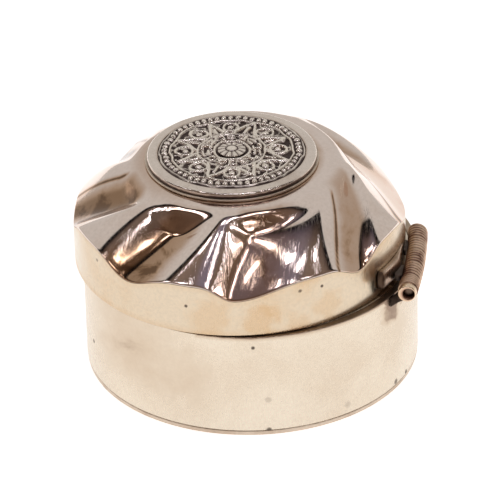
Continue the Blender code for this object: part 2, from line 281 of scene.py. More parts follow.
@dataclass
class Surface:
    """A closed surface: points, faces, and values that ride on the points."""

    points: Array
    quads: Array
    fans: Array = field(default_factory=lambda: np.empty((0, 3), int))
    marks: dict[Mark, Array] = field(default_factory=dict)

    @classmethod
    def hoop(cls, rings: Array) -> "Surface":
        """Joins rings all the way round, as for a wall with a bore."""
        count, segments, _ = rings.shape
        return cls(rings.reshape(-1, 3), grid_faces(count, segments, True))

    @classmethod
    def lens(cls, rings: Array, first: Sequence[float], last: Sequence[float]) -> "Surface":
        """Joins rings that run from one pole to another.

        Args:
            rings: Points as ring by segment by coordinate.
            first: The pole before the first ring.
            last: The pole after the last ring.

        Returns:
            The closed surface.
        """
        count, segments, _ = rings.shape
        points = np.vstack([rings.reshape(-1, 3), first, last])
        here = np.arange(segments)
        beside = (here + 1) % segments
        end = (count - 1) * segments
        pole = np.full(segments, count * segments)
        opening = np.stack([beside, here, pole], axis=1)
        closing = np.stack([end + here, end + beside, pole + 1], axis=1)
        return cls(points, grid_faces(count, segments, False), np.vstack([opening, closing]))

    def outward(self) -> "Surface":
        """Turns every face round if the signed volume inside the surface is negative."""
        corners = np.vstack([self.quads[:, :3], self.quads[:, [0, 2, 3]], self.fans])
        a, b, c = (self.points[corners[:, i]] for i in range(3))
        if np.einsum("ij,ij->", a, np.cross(b, c)) < 0.0:
            self.quads = self.quads[:, ::-1]
            self.fans = self.fans[:, ::-1]
        return self

    def place(self, name: str, finish: bpy.types.Material, body: Body, slot: str,
              stands_for: str, crease: float = 40.0) -> bpy.types.Object:
        """Makes the surface an object that rides on a body in place of a CAD node.

        Args:
            name: Name of the piece.
            finish: Its material.
            body: The body that it rides on.
            slot: Name of a material slot; not used.
            stands_for: The CAD node that it replaces.
            crease: Edges sharper than this many degrees stay sharp.

        Returns:
            The new object.
        """
        self.outward()
        mesh = bpy.data.meshes.new(name)
        mesh.vertices.add(len(self.points))
        mesh.vertices.foreach_set("co", self.points.astype(np.float32).ravel())
        loops = np.concatenate([self.quads.ravel(), self.fans.ravel()]).astype(np.int32)
        mesh.loops.add(len(loops))
        mesh.loops.foreach_set("vertex_index", loops)
        tail = 4 * len(self.quads) + 3 * np.arange(len(self.fans))
        starts = np.concatenate([4 * np.arange(len(self.quads)), tail]).astype(np.int32)
        mesh.polygons.add(len(starts))
        mesh.polygons.foreach_set("loop_start", starts)
        mesh.update(calc_edges=True)
        mesh.validate()
        mesh.shade_smooth()
        mesh.set_sharp_from_angle(angle=math.radians(crease))
        for mark, values in self.marks.items():
            layer = mesh.attributes.new(mark.value, "FLOAT", "POINT")
            layer.data.foreach_set("value", values.astype(np.float32))
        mesh.materials.append(finish)
        piece = bpy.data.objects.new(name, mesh)
        bpy.context.scene.collection.objects.link(piece)
        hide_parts(stands_for)
        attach(piece, body.value)
        LOG.info("%s: %d faces on %s", name, len(starts), body.value)
        return piece


# ---------------------------------------------------------------- finishes


class Graph:
    """Short hand for adding nodes to a node tree."""

    def __init__(self, tree: bpy.types.NodeTree) -> None:
        """Keeps the tree that nodes are added to."""
        self.tree = tree

    def node(self, kind: str, inputs: dict[Any, Any] | None = None,
             **settings: Any) -> bpy.types.Node:
        """Adds a node.

        Args:
            kind: Blender's name of the node type.
            inputs: A value, or a socket to link from, for each named or numbered input.
            **settings: The node's own properties.

        Returns:
            The node.
        """
        made = self.tree.nodes.new(kind)
        for key, value in settings.items():
            setattr(made, key, value)
        for key, value in (inputs or {}).items():
            if isinstance(value, bpy.types.NodeSocket):
                self.tree.links.new(value, made.inputs[key])
            else:
                made.inputs[key].default_value = value
        return made

    def math(self, operation: str, first: Any, second: Any = 0.0, third: Any = 0.0,
             clamp: bool = False) -> Socket:
        """The result of one Math node."""
        inputs = {0: first, 1: second, 2: third}
        return self.node("ShaderNodeMath", inputs, operation=operation, use_clamp=clamp).outputs[0]

    def vector(self, operation: str, first: Any, second: Any) -> bpy.types.Node:
        """One Vector Math node."""
        return self.node("ShaderNodeVectorMath", {0: first, 1: second}, operation=operation)

    def rise(self, value: Any, low: float, high: float, to_low: float = 0.0,
             to_high: float = 1.0) -> Socket:
        """A smooth step of the value from to_low at low to to_high at high."""
        inputs = {"Value": value, "From Min": low, "From Max": high,
                  "To Min": to_low, "To Max": to_high}
        return self.node("ShaderNodeMapRange", inputs, interpolation_type="SMOOTHSTEP").outputs[0]

    def mix(self, share: Any, first: Any, second: Any) -> Socket:
        """A colour mixed from two, by share."""
        first, second = (end if isinstance(end, bpy.types.NodeSocket) else (*end, 1.0)
                         for end in (first, second))
        inputs = {0: share, 6: first, 7: second}
        return self.node("ShaderNodeMix", inputs, data_type="RGBA").outputs[2]

    def use(self, group: bpy.types.NodeTree, inputs: dict[str, Any]) -> Socket:
        """The output of a node group placed with its own values."""
        return self.node("ShaderNodeGroup", inputs, node_tree=group).outputs[0]

    def noise(self, place: Any, scale: Any, detail: float, **inputs: float) -> Socket:
        """Fractal noise from 0 to 1 at a place."""
        values = {"Vector": place, "Scale": scale, "Detail": detail, **inputs}
        return self.node("ShaderNodeTexNoise", values).outputs["Fac"]

    def highest(self, values: Sequence[Socket]) -> Socket | None:
        """The largest of some values, or None when there is none."""
        total = None
        for value in values:
            total = value if total is None else self.math("MAXIMUM", total, value)
        return total


def new_group(name: str, vectors: Sequence[str], floats: Sequence[str],
              output: str) -> tuple[Graph, dict[str, Socket]]:
    """Starts a shader node group that puts out one value.

    Args:
        name: Name of the group.
        vectors: Names of its vector inputs.
        floats: Names of its number inputs.
        output: Name of the output.

    Returns:
        The graph to build in, and its input sockets by name.
    """
    graph = Graph(bpy.data.node_groups.new(name, "ShaderNodeTree"))
    sockets = graph.tree.interface
    for label in vectors:
        sockets.new_socket(label, in_out="INPUT", socket_type="NodeSocketVector")
    for label in floats:
        sockets.new_socket(label, in_out="INPUT", socket_type="NodeSocketFloat")
    sockets.new_socket(output, in_out="OUTPUT", socket_type="NodeSocketFloat")
    entry = graph.node("NodeGroupInput")
    return graph, {label: entry.outputs[label] for label in (*vectors, *floats)}


def finish_group(graph: Graph, value: Socket) -> bpy.types.NodeTree:
    """Links the group's one output, and returns the group."""
    graph.node("NodeGroupOutput", {0: value})
    return graph.tree


@dataclass(frozen=True)
class Effects:
    """The shared effects of all finishes, each a node group built once."""

    clouds: bpy.types.NodeTree
    hairlines: bpy.types.NodeTree
    pinholes: bpy.types.NodeTree
    spot: bpy.types.NodeTree

    @classmethod
    def build(cls) -> "Effects":
        """Makes the four groups."""
        return cls(cls._clouds(), cls._hairlines(), cls._pinholes(), cls._spot())

    @staticmethod
    def _clouds() -> bpy.types.NodeTree:
        """Uneven tarnish: fractal noise pushed through a smooth step from Low to High."""
        graph, of = new_group("tarnish_clouds", ["Vector"], ["Scale", "Low", "High"], "Mask")
        noise = graph.noise(of["Vector"], of["Scale"], 6.0, Roughness=0.62, Distortion=0.4)
        return finish_group(graph, graph.rise(noise, of["Low"], of["High"]))

    @staticmethod
    def _hairlines() -> bpy.types.NodeTree:
        """Polishing scratches: thin level lines of three noises, each stretched another way."""
        graph, of = new_group("polishing_hairlines", ["Vector"], ["Scale"], "Lines")
        thin = 0.012
        lines = []
        for turn, stretch in ((0.35, 14.0), (1.5, 22.0), (2.6, 17.0)):
            mapped = graph.node(
                "ShaderNodeMapping",
                {"Vector": of["Vector"], "Rotation": (turn, 0.6 * turn, 1.3 * turn),
                 "Scale": (1.0, stretch, 1.0)}).outputs[0]
            noise = graph.noise(mapped, of["Scale"], 2.0)
            off = graph.math("ABSOLUTE", graph.math("SUBTRACT", noise, 0.5))
            lines.append(graph.rise(off, 0.0, thin, 1.0, 0.0))
        return finish_group(graph, graph.highest(lines))

    @staticmethod
    def _pinholes() -> bpy.types.NodeTree:
        """Scattered pits: small discs round some of the points of a Voronoi pattern."""
        graph, of = new_group("casting_pinholes", ["Vector"], ["Scale", "Size", "Share"], "Mask")
        cells = graph.node(
            "ShaderNodeTexVoronoi", {"Vector": of["Vector"], "Scale": of["Scale"]})
        parts = graph.node("ShaderNodeSeparateColor", {0: cells.outputs["Color"]})
        chosen = graph.math("LESS_THAN", parts.outputs[0], of["Share"])
        size = graph.math("MULTIPLY", of["Size"], parts.outputs[1])
        disc = graph.math("DIVIDE", cells.outputs["Distance"], graph.math("ADD", size, 0.001))
        round_mask = graph.rise(disc, 0.6, 1.0, 1.0, 0.0)
        return finish_group(graph, graph.math("MULTIPLY", round_mask, chosen))

    @staticmethod
    def _spot() -> bpy.types.NodeTree:
        """A mark at one place: 1 inside a ragged ball round Centre, falling to 0 at Reach."""
        graph, of = new_group("single_spot", ["Vector", "Centre"], ["Reach", "Ragged"], "Mask")
        apart = graph.vector("DISTANCE", of["Vector"], of["Centre"]).outputs["Value"]
        near = graph.math("DIVIDE", apart, of["Reach"])
        noise = graph.noise(of["Vector"], graph.math("DIVIDE", 2.2, of["Reach"]), 3.0)
        push = graph.math("MULTIPLY", graph.math("SUBTRACT", noise, 0.5), of["Ragged"])
        ragged = graph.math("ADD", near, push)
        return finish_group(graph, graph.rise(ragged, 0.35, 1.0, 1.0, 0.0))


@dataclass(frozen=True)
class Spot:
    """A stain or a pit on a round wall.

    Attributes:
        angle: Angle about the wall's axis, in degrees.
        height: Height over the floor, in millimetres.
        reach: Distance at which it has faded, in millimetres.
        strength: How strong it is in its middle.
        pit: Whether it is a dark pit and not a stain.
        wall_radius: Radius of the wall, in metres.
        wall_centre: Where the wall's axis stands, in metres.
    """

    angle: float
    height: float
    reach: float
    strength: float = 1.0
    pit: bool = False
    wall_radius: float = DRUM_RADIUS
    wall_centre: tuple[float, float] = (0.0, 0.0)

    def centre(self) -> tuple[float, float, float]:
        """Its place in metres."""
        turn = math.radians(self.angle)
        return (
            self.wall_centre[0] + self.wall_radius * math.cos(turn),
            self.wall_centre[1] + self.wall_radius * math.sin(turn),
            self.height * MM,
        )


@dataclass(frozen=True)
class SilverFinish:
    """One silver surface: its metal, its tarnish with the painted shade that rides on it, and how
    the two share the surface.

    Attributes:
        name: Name of the material.
        metal: Colour of clean metal.
        tarnish: Colour where the share of tarnish and painted shade nears 1.
        deep: Colour of the thickest deposit and of the darkest painted shade.
        roughness: Roughness of clean metal.
        dulling: Roughness added where the tarnish share is 1.
        cloud_scale: Scale of the tarnish clouds, per metre.
        cloud_low: Noise value below which there is no cloud.
        cloud_high: Noise value above which a cloud is full.
        cloud_strength: Tarnish share of a full cloud.
        mark: Which of the surface's own marks adds tarnish, and on some surfaces painted shade.
        mark_strength: Share of tarnish and painted shade where that mark is 1.
        grain: Height of the finest grain, in metres.
        hairline: Depth of the polishing scratches, in metres.
        pit_share: Share of the pit pattern's cells that hold a pit.
        speckle: Roughness added by grain and scratches.
        spots: Stains and pits with places of their own; some stains are painted shade.
    """

    name: str
    metal: Colour
    tarnish: Colour
    deep: Colour
    roughness: float
    dulling: float = 0.2
    cloud_scale: float = 160.0
    cloud_low: float = 0.45
    cloud_high: float = 0.75
    cloud_strength: float = 0.4
    mark: Mark | None = None
    mark_strength: float = 1.0
    grain: float = 0.000002
    hairline: float = 0.000003
    pit_share: float = 0.05
    speckle: float = 0.06
    spots: tuple[Spot, ...] = ()

    def _spots(self, graph: Graph, effects: Effects, place: Socket, pits: bool) -> Socket | None:
        """The strongest of the stains, or of the pits, at each place."""
        ragged = 0.5 if pits else 1.1
        masks = []
        for spot in self.spots:
            if spot.pit is pits:
                values = {"Vector": place, "Centre": spot.centre(), "Reach": spot.reach * MM,
                          "Ragged": ragged}
                mask = graph.use(effects.spot, values)
                masks.append(graph.math("MULTIPLY", mask, spot.strength))
        return graph.highest(masks)

    def _tarnish_and_shade_share(self, graph: Graph, effects: Effects, place: Socket) -> Socket:
        """Share of tarnish and painted shade from 0 to 1: clouds, the surface's own mark and the
        named stains.
        """
        clouds = graph.use(effects.clouds, {
            "Vector": place, "Scale": self.cloud_scale, "Low": self.cloud_low,
            "High": self.cloud_high})
        share = graph.math("MULTIPLY", clouds, self.cloud_strength)
        if self.mark is not None:
            value = graph.node("ShaderNodeAttribute", attribute_name=self.mark.value).outputs["Fac"]
            broken = graph.math("MULTIPLY_ADD", clouds, 0.25, 0.88)
            broken = graph.math("MULTIPLY", broken, self.mark_strength)
            share = graph.math("ADD", share, graph.math("MULTIPLY", value, broken))
        stains = self._spots(graph, effects, place, False)
        if stains is not None:
            share = graph.math("ADD", share, stains)
        return graph.math("MINIMUM", share, 1.0)

    def material(self, effects: Effects) -> bpy.types.Material:
        """Builds the material.

        Args:
            effects: The shared node groups.

        Returns:
            A metallic Principled material whose colour, roughness and bump vary.
        """
        made = bpy.data.materials.new(self.name)
        made.use_nodes = True
        graph = Graph(made.node_tree)
        shader = made.node_tree.nodes["Principled BSDF"]
        place = graph.node("ShaderNodeTexCoord").outputs["Object"]
        share = self._tarnish_and_shade_share(graph, effects, place)
        fine = graph.noise(place, 2600.0, 3.0)
        pits = graph.use(effects.pinholes, {
            "Vector": place, "Scale": 420.0, "Size": 0.09, "Share": self.pit_share})
        named = self._spots(graph, effects, place, True)
        if named is not None:
            pits = graph.math("MAXIMUM", pits, named)
        lines = graph.use(effects.hairlines, {"Vector": place, "Scale": 260.0})

        shaded = tuple(0.82 * part for part in self.metal)
        metal = graph.mix(graph.rise(fine, 0.3, 0.75, 0.0, 0.35), self.metal, shaded)
        colour = graph.mix(share, metal, self.tarnish)
        colour = graph.mix(graph.rise(share, 0.72, 1.15), colour, self.deep)
        colour = graph.mix(graph.math("MULTIPLY", pits, 0.8), colour, (0.05, 0.03, 0.025))

        rough = graph.math("MULTIPLY_ADD", share, self.dulling, self.roughness)
        rough = graph.math("MULTIPLY_ADD", lines, 0.8 * self.speckle, rough)
        rough = graph.math("MULTIPLY_ADD", fine, self.speckle, rough)
        rough = graph.math("MULTIPLY_ADD", pits, 0.4, rough, clamp=True)

        height = graph.math("MULTIPLY", fine, self.grain)
        height = graph.math("SUBTRACT", height, graph.math("MULTIPLY", lines, self.hairline))
        height = graph.math("SUBTRACT", height, graph.math("MULTIPLY", pits, 0.00003))
        bump = graph.node("ShaderNodeBump", {"Height": height, "Distance": 1.0, "Strength": 1.0})

        links = made.node_tree.links
        links.new(colour, shader.inputs["Base Color"])
        links.new(rough, shader.inputs["Roughness"])
        links.new(bump.outputs[0], shader.inputs["Normal"])
        shader.inputs["Metallic"].default_value = 1.0
        return made


@dataclass(frozen=True)
class Finishes:
    """Every finish of the box, built once."""

    drum: bpy.types.Material
    plate: bpy.types.Material
    band: bpy.types.Material
    crown: bpy.types.Material
    frame: bpy.types.Material
    relief: bpy.types.Material
    barrel: bpy.types.Material
    solder: bpy.types.Material
    bar: bpy.types.Material
    pin: bpy.types.Material

    @classmethod
    def build(cls) -> "Finishes":
        """Builds all finishes from the shared effects."""
        effects = Effects.build()
        drum = SilverFinish(
            "satin_silver_drum", (0.795, 0.71, 0.58), (0.58, 0.455, 0.33), (0.22, 0.14, 0.10),
            0.20, dulling=0.12, cloud_scale=62.0, cloud_low=0.40, cloud_high=0.76,
            cloud_strength=0.40, mark=Mark.TARNISH, mark_strength=0.62, grain=0.0000008,
            hairline=0.0000022, pit_share=0.035,
            spots=(
                Spot(7.9, 12.12, 0.30, pit=True),
                Spot(-63.2, 5.18, 0.36, pit=True),
                Spot(73.3, 0.9, 0.45, 0.9, pit=True),
                Spot(65.5, 1.1, 0.5, 0.8, pit=True),
                Spot(12.6, 0.75, 0.45, 0.9, pit=True),
                Spot(12.5, 4.9, 0.55, 0.25, pit=True),
                Spot(41.2, 1.9, 0.6, 0.25, pit=True),
                # The next three stains, just under the hinge's near end, are painted shade of the
                # barrel and its solder on the wall.
                Spot(63.0, 11.6, 2.8, 0.55),
                Spot(64.5, 13.0, 2.2, 1.3),
                Spot(71.0, 12.8, 1.8, 1.2),
            ))
        lid_wall = {"wall_radius": LID_RADIUS, "wall_centre": LID_CENTRE}
        band = SilverFinish(
            "warm_silver_band", (0.67, 0.56, 0.42), (0.60, 0.39, 0.20), (0.30, 0.17, 0.09),
            0.16, dulling=0.16, cloud_scale=130.0, cloud_low=0.42, cloud_strength=0.36,
            mark=Mark.TARNISH, mark_strength=0.36, grain=0.0000018, hairline=0.0000025,
            pit_share=0.05,
            spots=(
                Spot(-11.0, 17.26, 0.28, pit=True, **lid_wall),
                Spot(28.0, 18.81, 0.30, 0.8, pit=True, **lid_wall),
                Spot(36.1, 18.71, 0.28, pit=True, **lid_wall),
                Spot(-49.9, 18.84, 0.3, 0.6, pit=True, **lid_wall),
                Spot(-3.0, 16.0, 3.4, 0.36, **lid_wall),
                Spot(14.0, 15.8, 3.0, 0.50, **lid_wall),
                Spot(38.0, 16.0, 2.6, 0.34, **lid_wall),
                Spot(27.0, 14.6, 2.0, 0.30, **lid_wall),
            ))
        crown = SilverFinish(
            "polished_silver_crown", (0.88, 0.745, 0.665), (0.46, 0.26, 0.13), (0.08, 0.045, 0.03),
            0.006, dulling=0.07, cloud_scale=210.0, cloud_strength=0.16, mark=Mark.TARNISH,
            mark_strength=1.0, grain=0.0000004, hairline=0.0000006, pit_share=0.03, speckle=0.018)
        plate = SilverFinish(
            "dull_silver_plate", (0.66, 0.55, 0.44), (0.36, 0.23, 0.14), (0.12, 0.07, 0.04),
            0.30, cloud_strength=0.55)
        rim = SilverFinish(
            "polished_silver_rim", (0.86, 0.75, 0.66), (0.42, 0.29, 0.21), (0.03, 0.02, 0.03),
            0.07, dulling=0.2, cloud_scale=260.0, cloud_strength=0.3, mark=Mark.TARNISH,
            mark_strength=1.05, grain=0.0000012, speckle=0.03)
        relief = SilverFinish(
            "oxidised_cast_silver", (1.0, 0.90, 0.79), (0.20, 0.14, 0.12), (0.030, 0.020, 0.022),
            0.16, dulling=0.3, cloud_scale=500.0, cloud_strength=0.12, mark=Mark.TARNISH,
            mark_strength=1.1, grain=0.000003, pit_share=0.2)
        barrel = SilverFinish(
            "coppery_ribbed_silver", (0.90, 0.70, 0.50), (0.40, 0.22, 0.15), (0.05, 0.025, 0.02),
            0.22, dulling=0.2, cloud_scale=300.0, cloud_strength=0.5, mark=Mark.TARNISH,
            mark_strength=1.0, grain=0.000003)
        # The solder is coloured near-black: painted shadow in the gaps round the barrel, where the
        # feet sit.
        solder = SilverFinish(
            "solder_dark_as_painted_shadow", (0.13, 0.10, 0.08), (0.06, 0.04, 0.03), (0.02, 0.014, 0.012),
            0.5, dulling=0.25, cloud_scale=420.0, cloud_strength=0.85, cloud_low=0.38,
            cloud_high=0.62, grain=0.000010, pit_share=0.4)
        bar = SilverFinish(
            "brown_hinge_bar", (0.56, 0.42, 0.32), (0.26, 0.16, 0.10), (0.03, 0.02, 0.016),
            0.22, dulling=0.2, cloud_scale=300.0, cloud_strength=0.6, mark=Mark.TARNISH,
            mark_strength=1.1, grain=0.000004)
        pin = SilverFinish(
            "dark_pin_wire", (0.17, 0.12, 0.09), (0.08, 0.05, 0.035), (0.03, 0.02, 0.015),
            0.35, cloud_strength=0.8)
        order = (drum, plate, band, crown, rim, relief, barrel, solder, bar, pin)
        return cls(*(finish.material(effects) for finish in order))


# ---------------------------------------------------------------- the box


@dataclass(frozen=True)
class Drum:
    """The fixed lower half: bottom plate, wall and seat ring. Sizes are in metres."""

    radius: float = DRUM_RADIUS
    wall: float = 0.0009
    top: float = 0.0135
    plate: float = 0.0006
    plate_inset: float = 0.00006
    seam: float = SEAM
    dent: float = 0.00005
    seat_inner: float = 0.0174
    seat_height: float = 0.0008
    segments: int = 300

    def _wall_points(self) -> Array:
        """Turned wall with softened edges and slow dents, which fade out at the two edges."""
        low = self.plate + self.seam
        outline = rounded_outline(
            box((self.radius - self.wall, low), (self.radius, self.top)),
            [0.00008, 0.00014, 0.00010, 0.00012])
        rings = turned(filled_outline(outline, 0.0005), self.segments)
        angle = round_angles(self.segments)[None, :]
        level = rings[..., 2]
        fade = 0.0015
        away = smooth_step((level - low) / fade) * smooth_step((self.top - level) / fade)
        dent = unevenness(angle + 0.0 * level, level, 3, self.dent, 6) * away
        rings[..., 0] += dent * np.cos(angle)
        rings[..., 1] += dent * np.sin(angle)
        return rings

    def _wall_tarnish_and_shade(self, wall: Array) -> Array:
        """Light tarnish and painted shade of the wall: two darker upright bands that fade
        downwards, and a painted shadow line at the lip.

        Formula: bell curves of the angle about the two bands, times a smooth step of the
        height, plus a step at the lip on the hinge's side. The bands, either side of the front,
        paint the wall's reflections, and the lip step paints the shadow in the seam under the lid.
        """
        angle = np.arctan2(wall[..., 1], wall[..., 0])
        level = wall[..., 2]
        # Painted shade: darker upright bands either side of the front, in place of the wall's
        # reflections.
        bands = np.exp(-(((angle + 0.62) / 0.42) ** 2))
        bands = bands + 0.5 * np.exp(-(((angle - 0.55) / 0.35) ** 2))
        high = smooth_step((level - 0.001) / 0.007)
        # Painted shadow: a dark line at the lip on the hinge's side, in the seam under the lid.
        lip = smooth_step((level - self.top + 0.0005) / 0.0003) * (np.sin(angle) > -0.2)
        shade = (0.20 + 0.62 * bands) * (0.30 + 0.70 * high) + 1.5 * lip
        return np.clip(shade, 0.0, 1.6)

    def build(self, finish: Finishes) -> None:
        """Makes the three pieces.

        Args:
            finish: All finishes.
        """
        plate = plate_outline(
            self.radius - self.plate_inset, self.plate, (0.00016, 0.00012), 0.0012)
        Surface.lens(turned(plate, self.segments), (0.0, 0.0, 0.0), (0.0, 0.0, self.plate)).place(
            "bottom_plate", finish.plate, Body.BASE, "plate_silver", "base_floor")
        wall = self._wall_points()
        hoop = Surface.hoop(wall)
        hoop.marks[Mark.TARNISH] = self._wall_tarnish_and_shade(wall).ravel()
        hoop.place("drum_wall", finish.drum, Body.BASE, "satin_silver", "base_wall")
        seat = rounded_outline(
            box((self.seat_inner, self.top - self.seat_height),
                (self.radius - self.wall - self.seam, self.top)),
            [0.0001, 0.00005, 0.00008, 0.0002])
        ledge = Surface.hoop(turned(filled_outline(seat, 0.0006), self.segments))
        ledge.marks[Mark.TARNISH] = np.full(len(ledge.points), 0.5)
        ledge.place("seat_ring", finish.drum, Body.BASE, "satin_silver", "base_seat_ring")


@dataclass(frozen=True)
class Flutes:
    """The swirled flutes of the crown, in the order in which they stand round it.

    Attributes:
        angles: Where the bottom of each flute meets the rim, in degrees.
        swirls: How far each bottom turns between the swirl's start and the rim, in degrees.
        ridge_angles: Where the ridge after each flute meets the rim, in degrees.
        ridge_swirls: How far each ridge turns, in degrees.
        ridges: Height of the rim at each ridge, in metres.
        depth: Depth of a flute, in metres.
        start: Radius at which the flutes begin.
        run_in: Run over which they reach their depth.
        swirl_start: Radius at which the swirl sets in.
        swirl_power: How much faster the swirl is close to its start.
    """

    angles: tuple[float, ...] = (5.5, 52.5, 103.0, 155.0, 201.0, 239.0, 278.9, 325.5)
    swirls: tuple[float, ...] = (13.0, 27.0, 27.0, 20.0, 14.0, 14.0, 18.0, 14.0)
    ridge_angles: tuple[float, ...] = (37.0, 68.0, 129.0, 178.0, 220.0, 259.0, 303.0, 350.0)
    ridge_swirls: tuple[float, ...] = (17.0, 25.0, 23.5, 17.0, 14.0, 16.0, 14.0, 10.0)
    ridges: tuple[float, ...] = (0.0202, 0.0207, 0.0189, 0.0194, 0.0205, 0.0192, 0.0205, 0.0200)
    depth: float = 0.00175
    start: float = 0.0120
    run_in: float = 0.0022
    swirl_start: float = 0.0130
    swirl_power: float = 1.4

    def out(self, radius: Array, rim_radius: float) -> Array:
        """Share of the way from where the swirl sets in, 0, to the rim, 1."""
        run = rim_radius - self.swirl_start
        return np.clip((radius - self.swirl_start) / run, 0.0, 1.0)

    def phase(self, radius: Array, angle: Array, rim_radius: float) -> Array:
        """Phase about the axis: whole turns along the flute bottoms, half turns along ridges.

        Formula: the rim angle is the fixed point of angle minus swirl times (1 - out)^1.4,
        and the phase runs evenly from each flute's rim angle to the next ridge's, and on.
        """
        angles = np.stack([self.angles, self.ridge_angles], axis=1).ravel()
        turns = np.stack([self.swirls, self.ridge_swirls], axis=1).ravel()
        marks = np.radians(np.append(angles, angles[0] + 360.0))
        swirls = np.radians(np.append(turns, turns[0]))
        lag = (1.0 - self.out(radius, rim_radius)) ** self.swirl_power
        at_rim = angle
        for _ in range(14):
            wrapped = (at_rim - marks[0]) % TAU + marks[0]
            at_rim = angle - np.interp(wrapped, marks, swirls) * lag
        wrapped = (at_rim - marks[0]) % TAU + marks[0]
        return math.pi * np.interp(wrapped, marks, np.arange(len(marks)))

    def rim(self, phase: Array) -> Array:
        """Height of the rim, going smoothly from each ridge to the next."""
        heights = np.array(self.ridges)
        place = phase / TAU - 0.5
        step = np.floor(place).astype(int)
        rise = smooth_step(place - step)
        count = len(heights)
        return heights[step % count] * (1.0 - rise) + heights[(step + 1) % count] * rise

    def trough(self, phase: Array, out: Array, angle: Array) -> Array:
        """How deep in a flute a place is, from 0 on a ridge to 1 along a bottom."""
        narrow = out**2 * smooth_step(0.5 + 1.1 * np.cos(angle + 0.1))
        sharp = 0.36 * smooth_step(1.3 * np.cos(angle - 1.35) - 0.2)
        return (0.5 + 0.5 * np.cos(phase)) ** (0.88 - sharp + narrow)


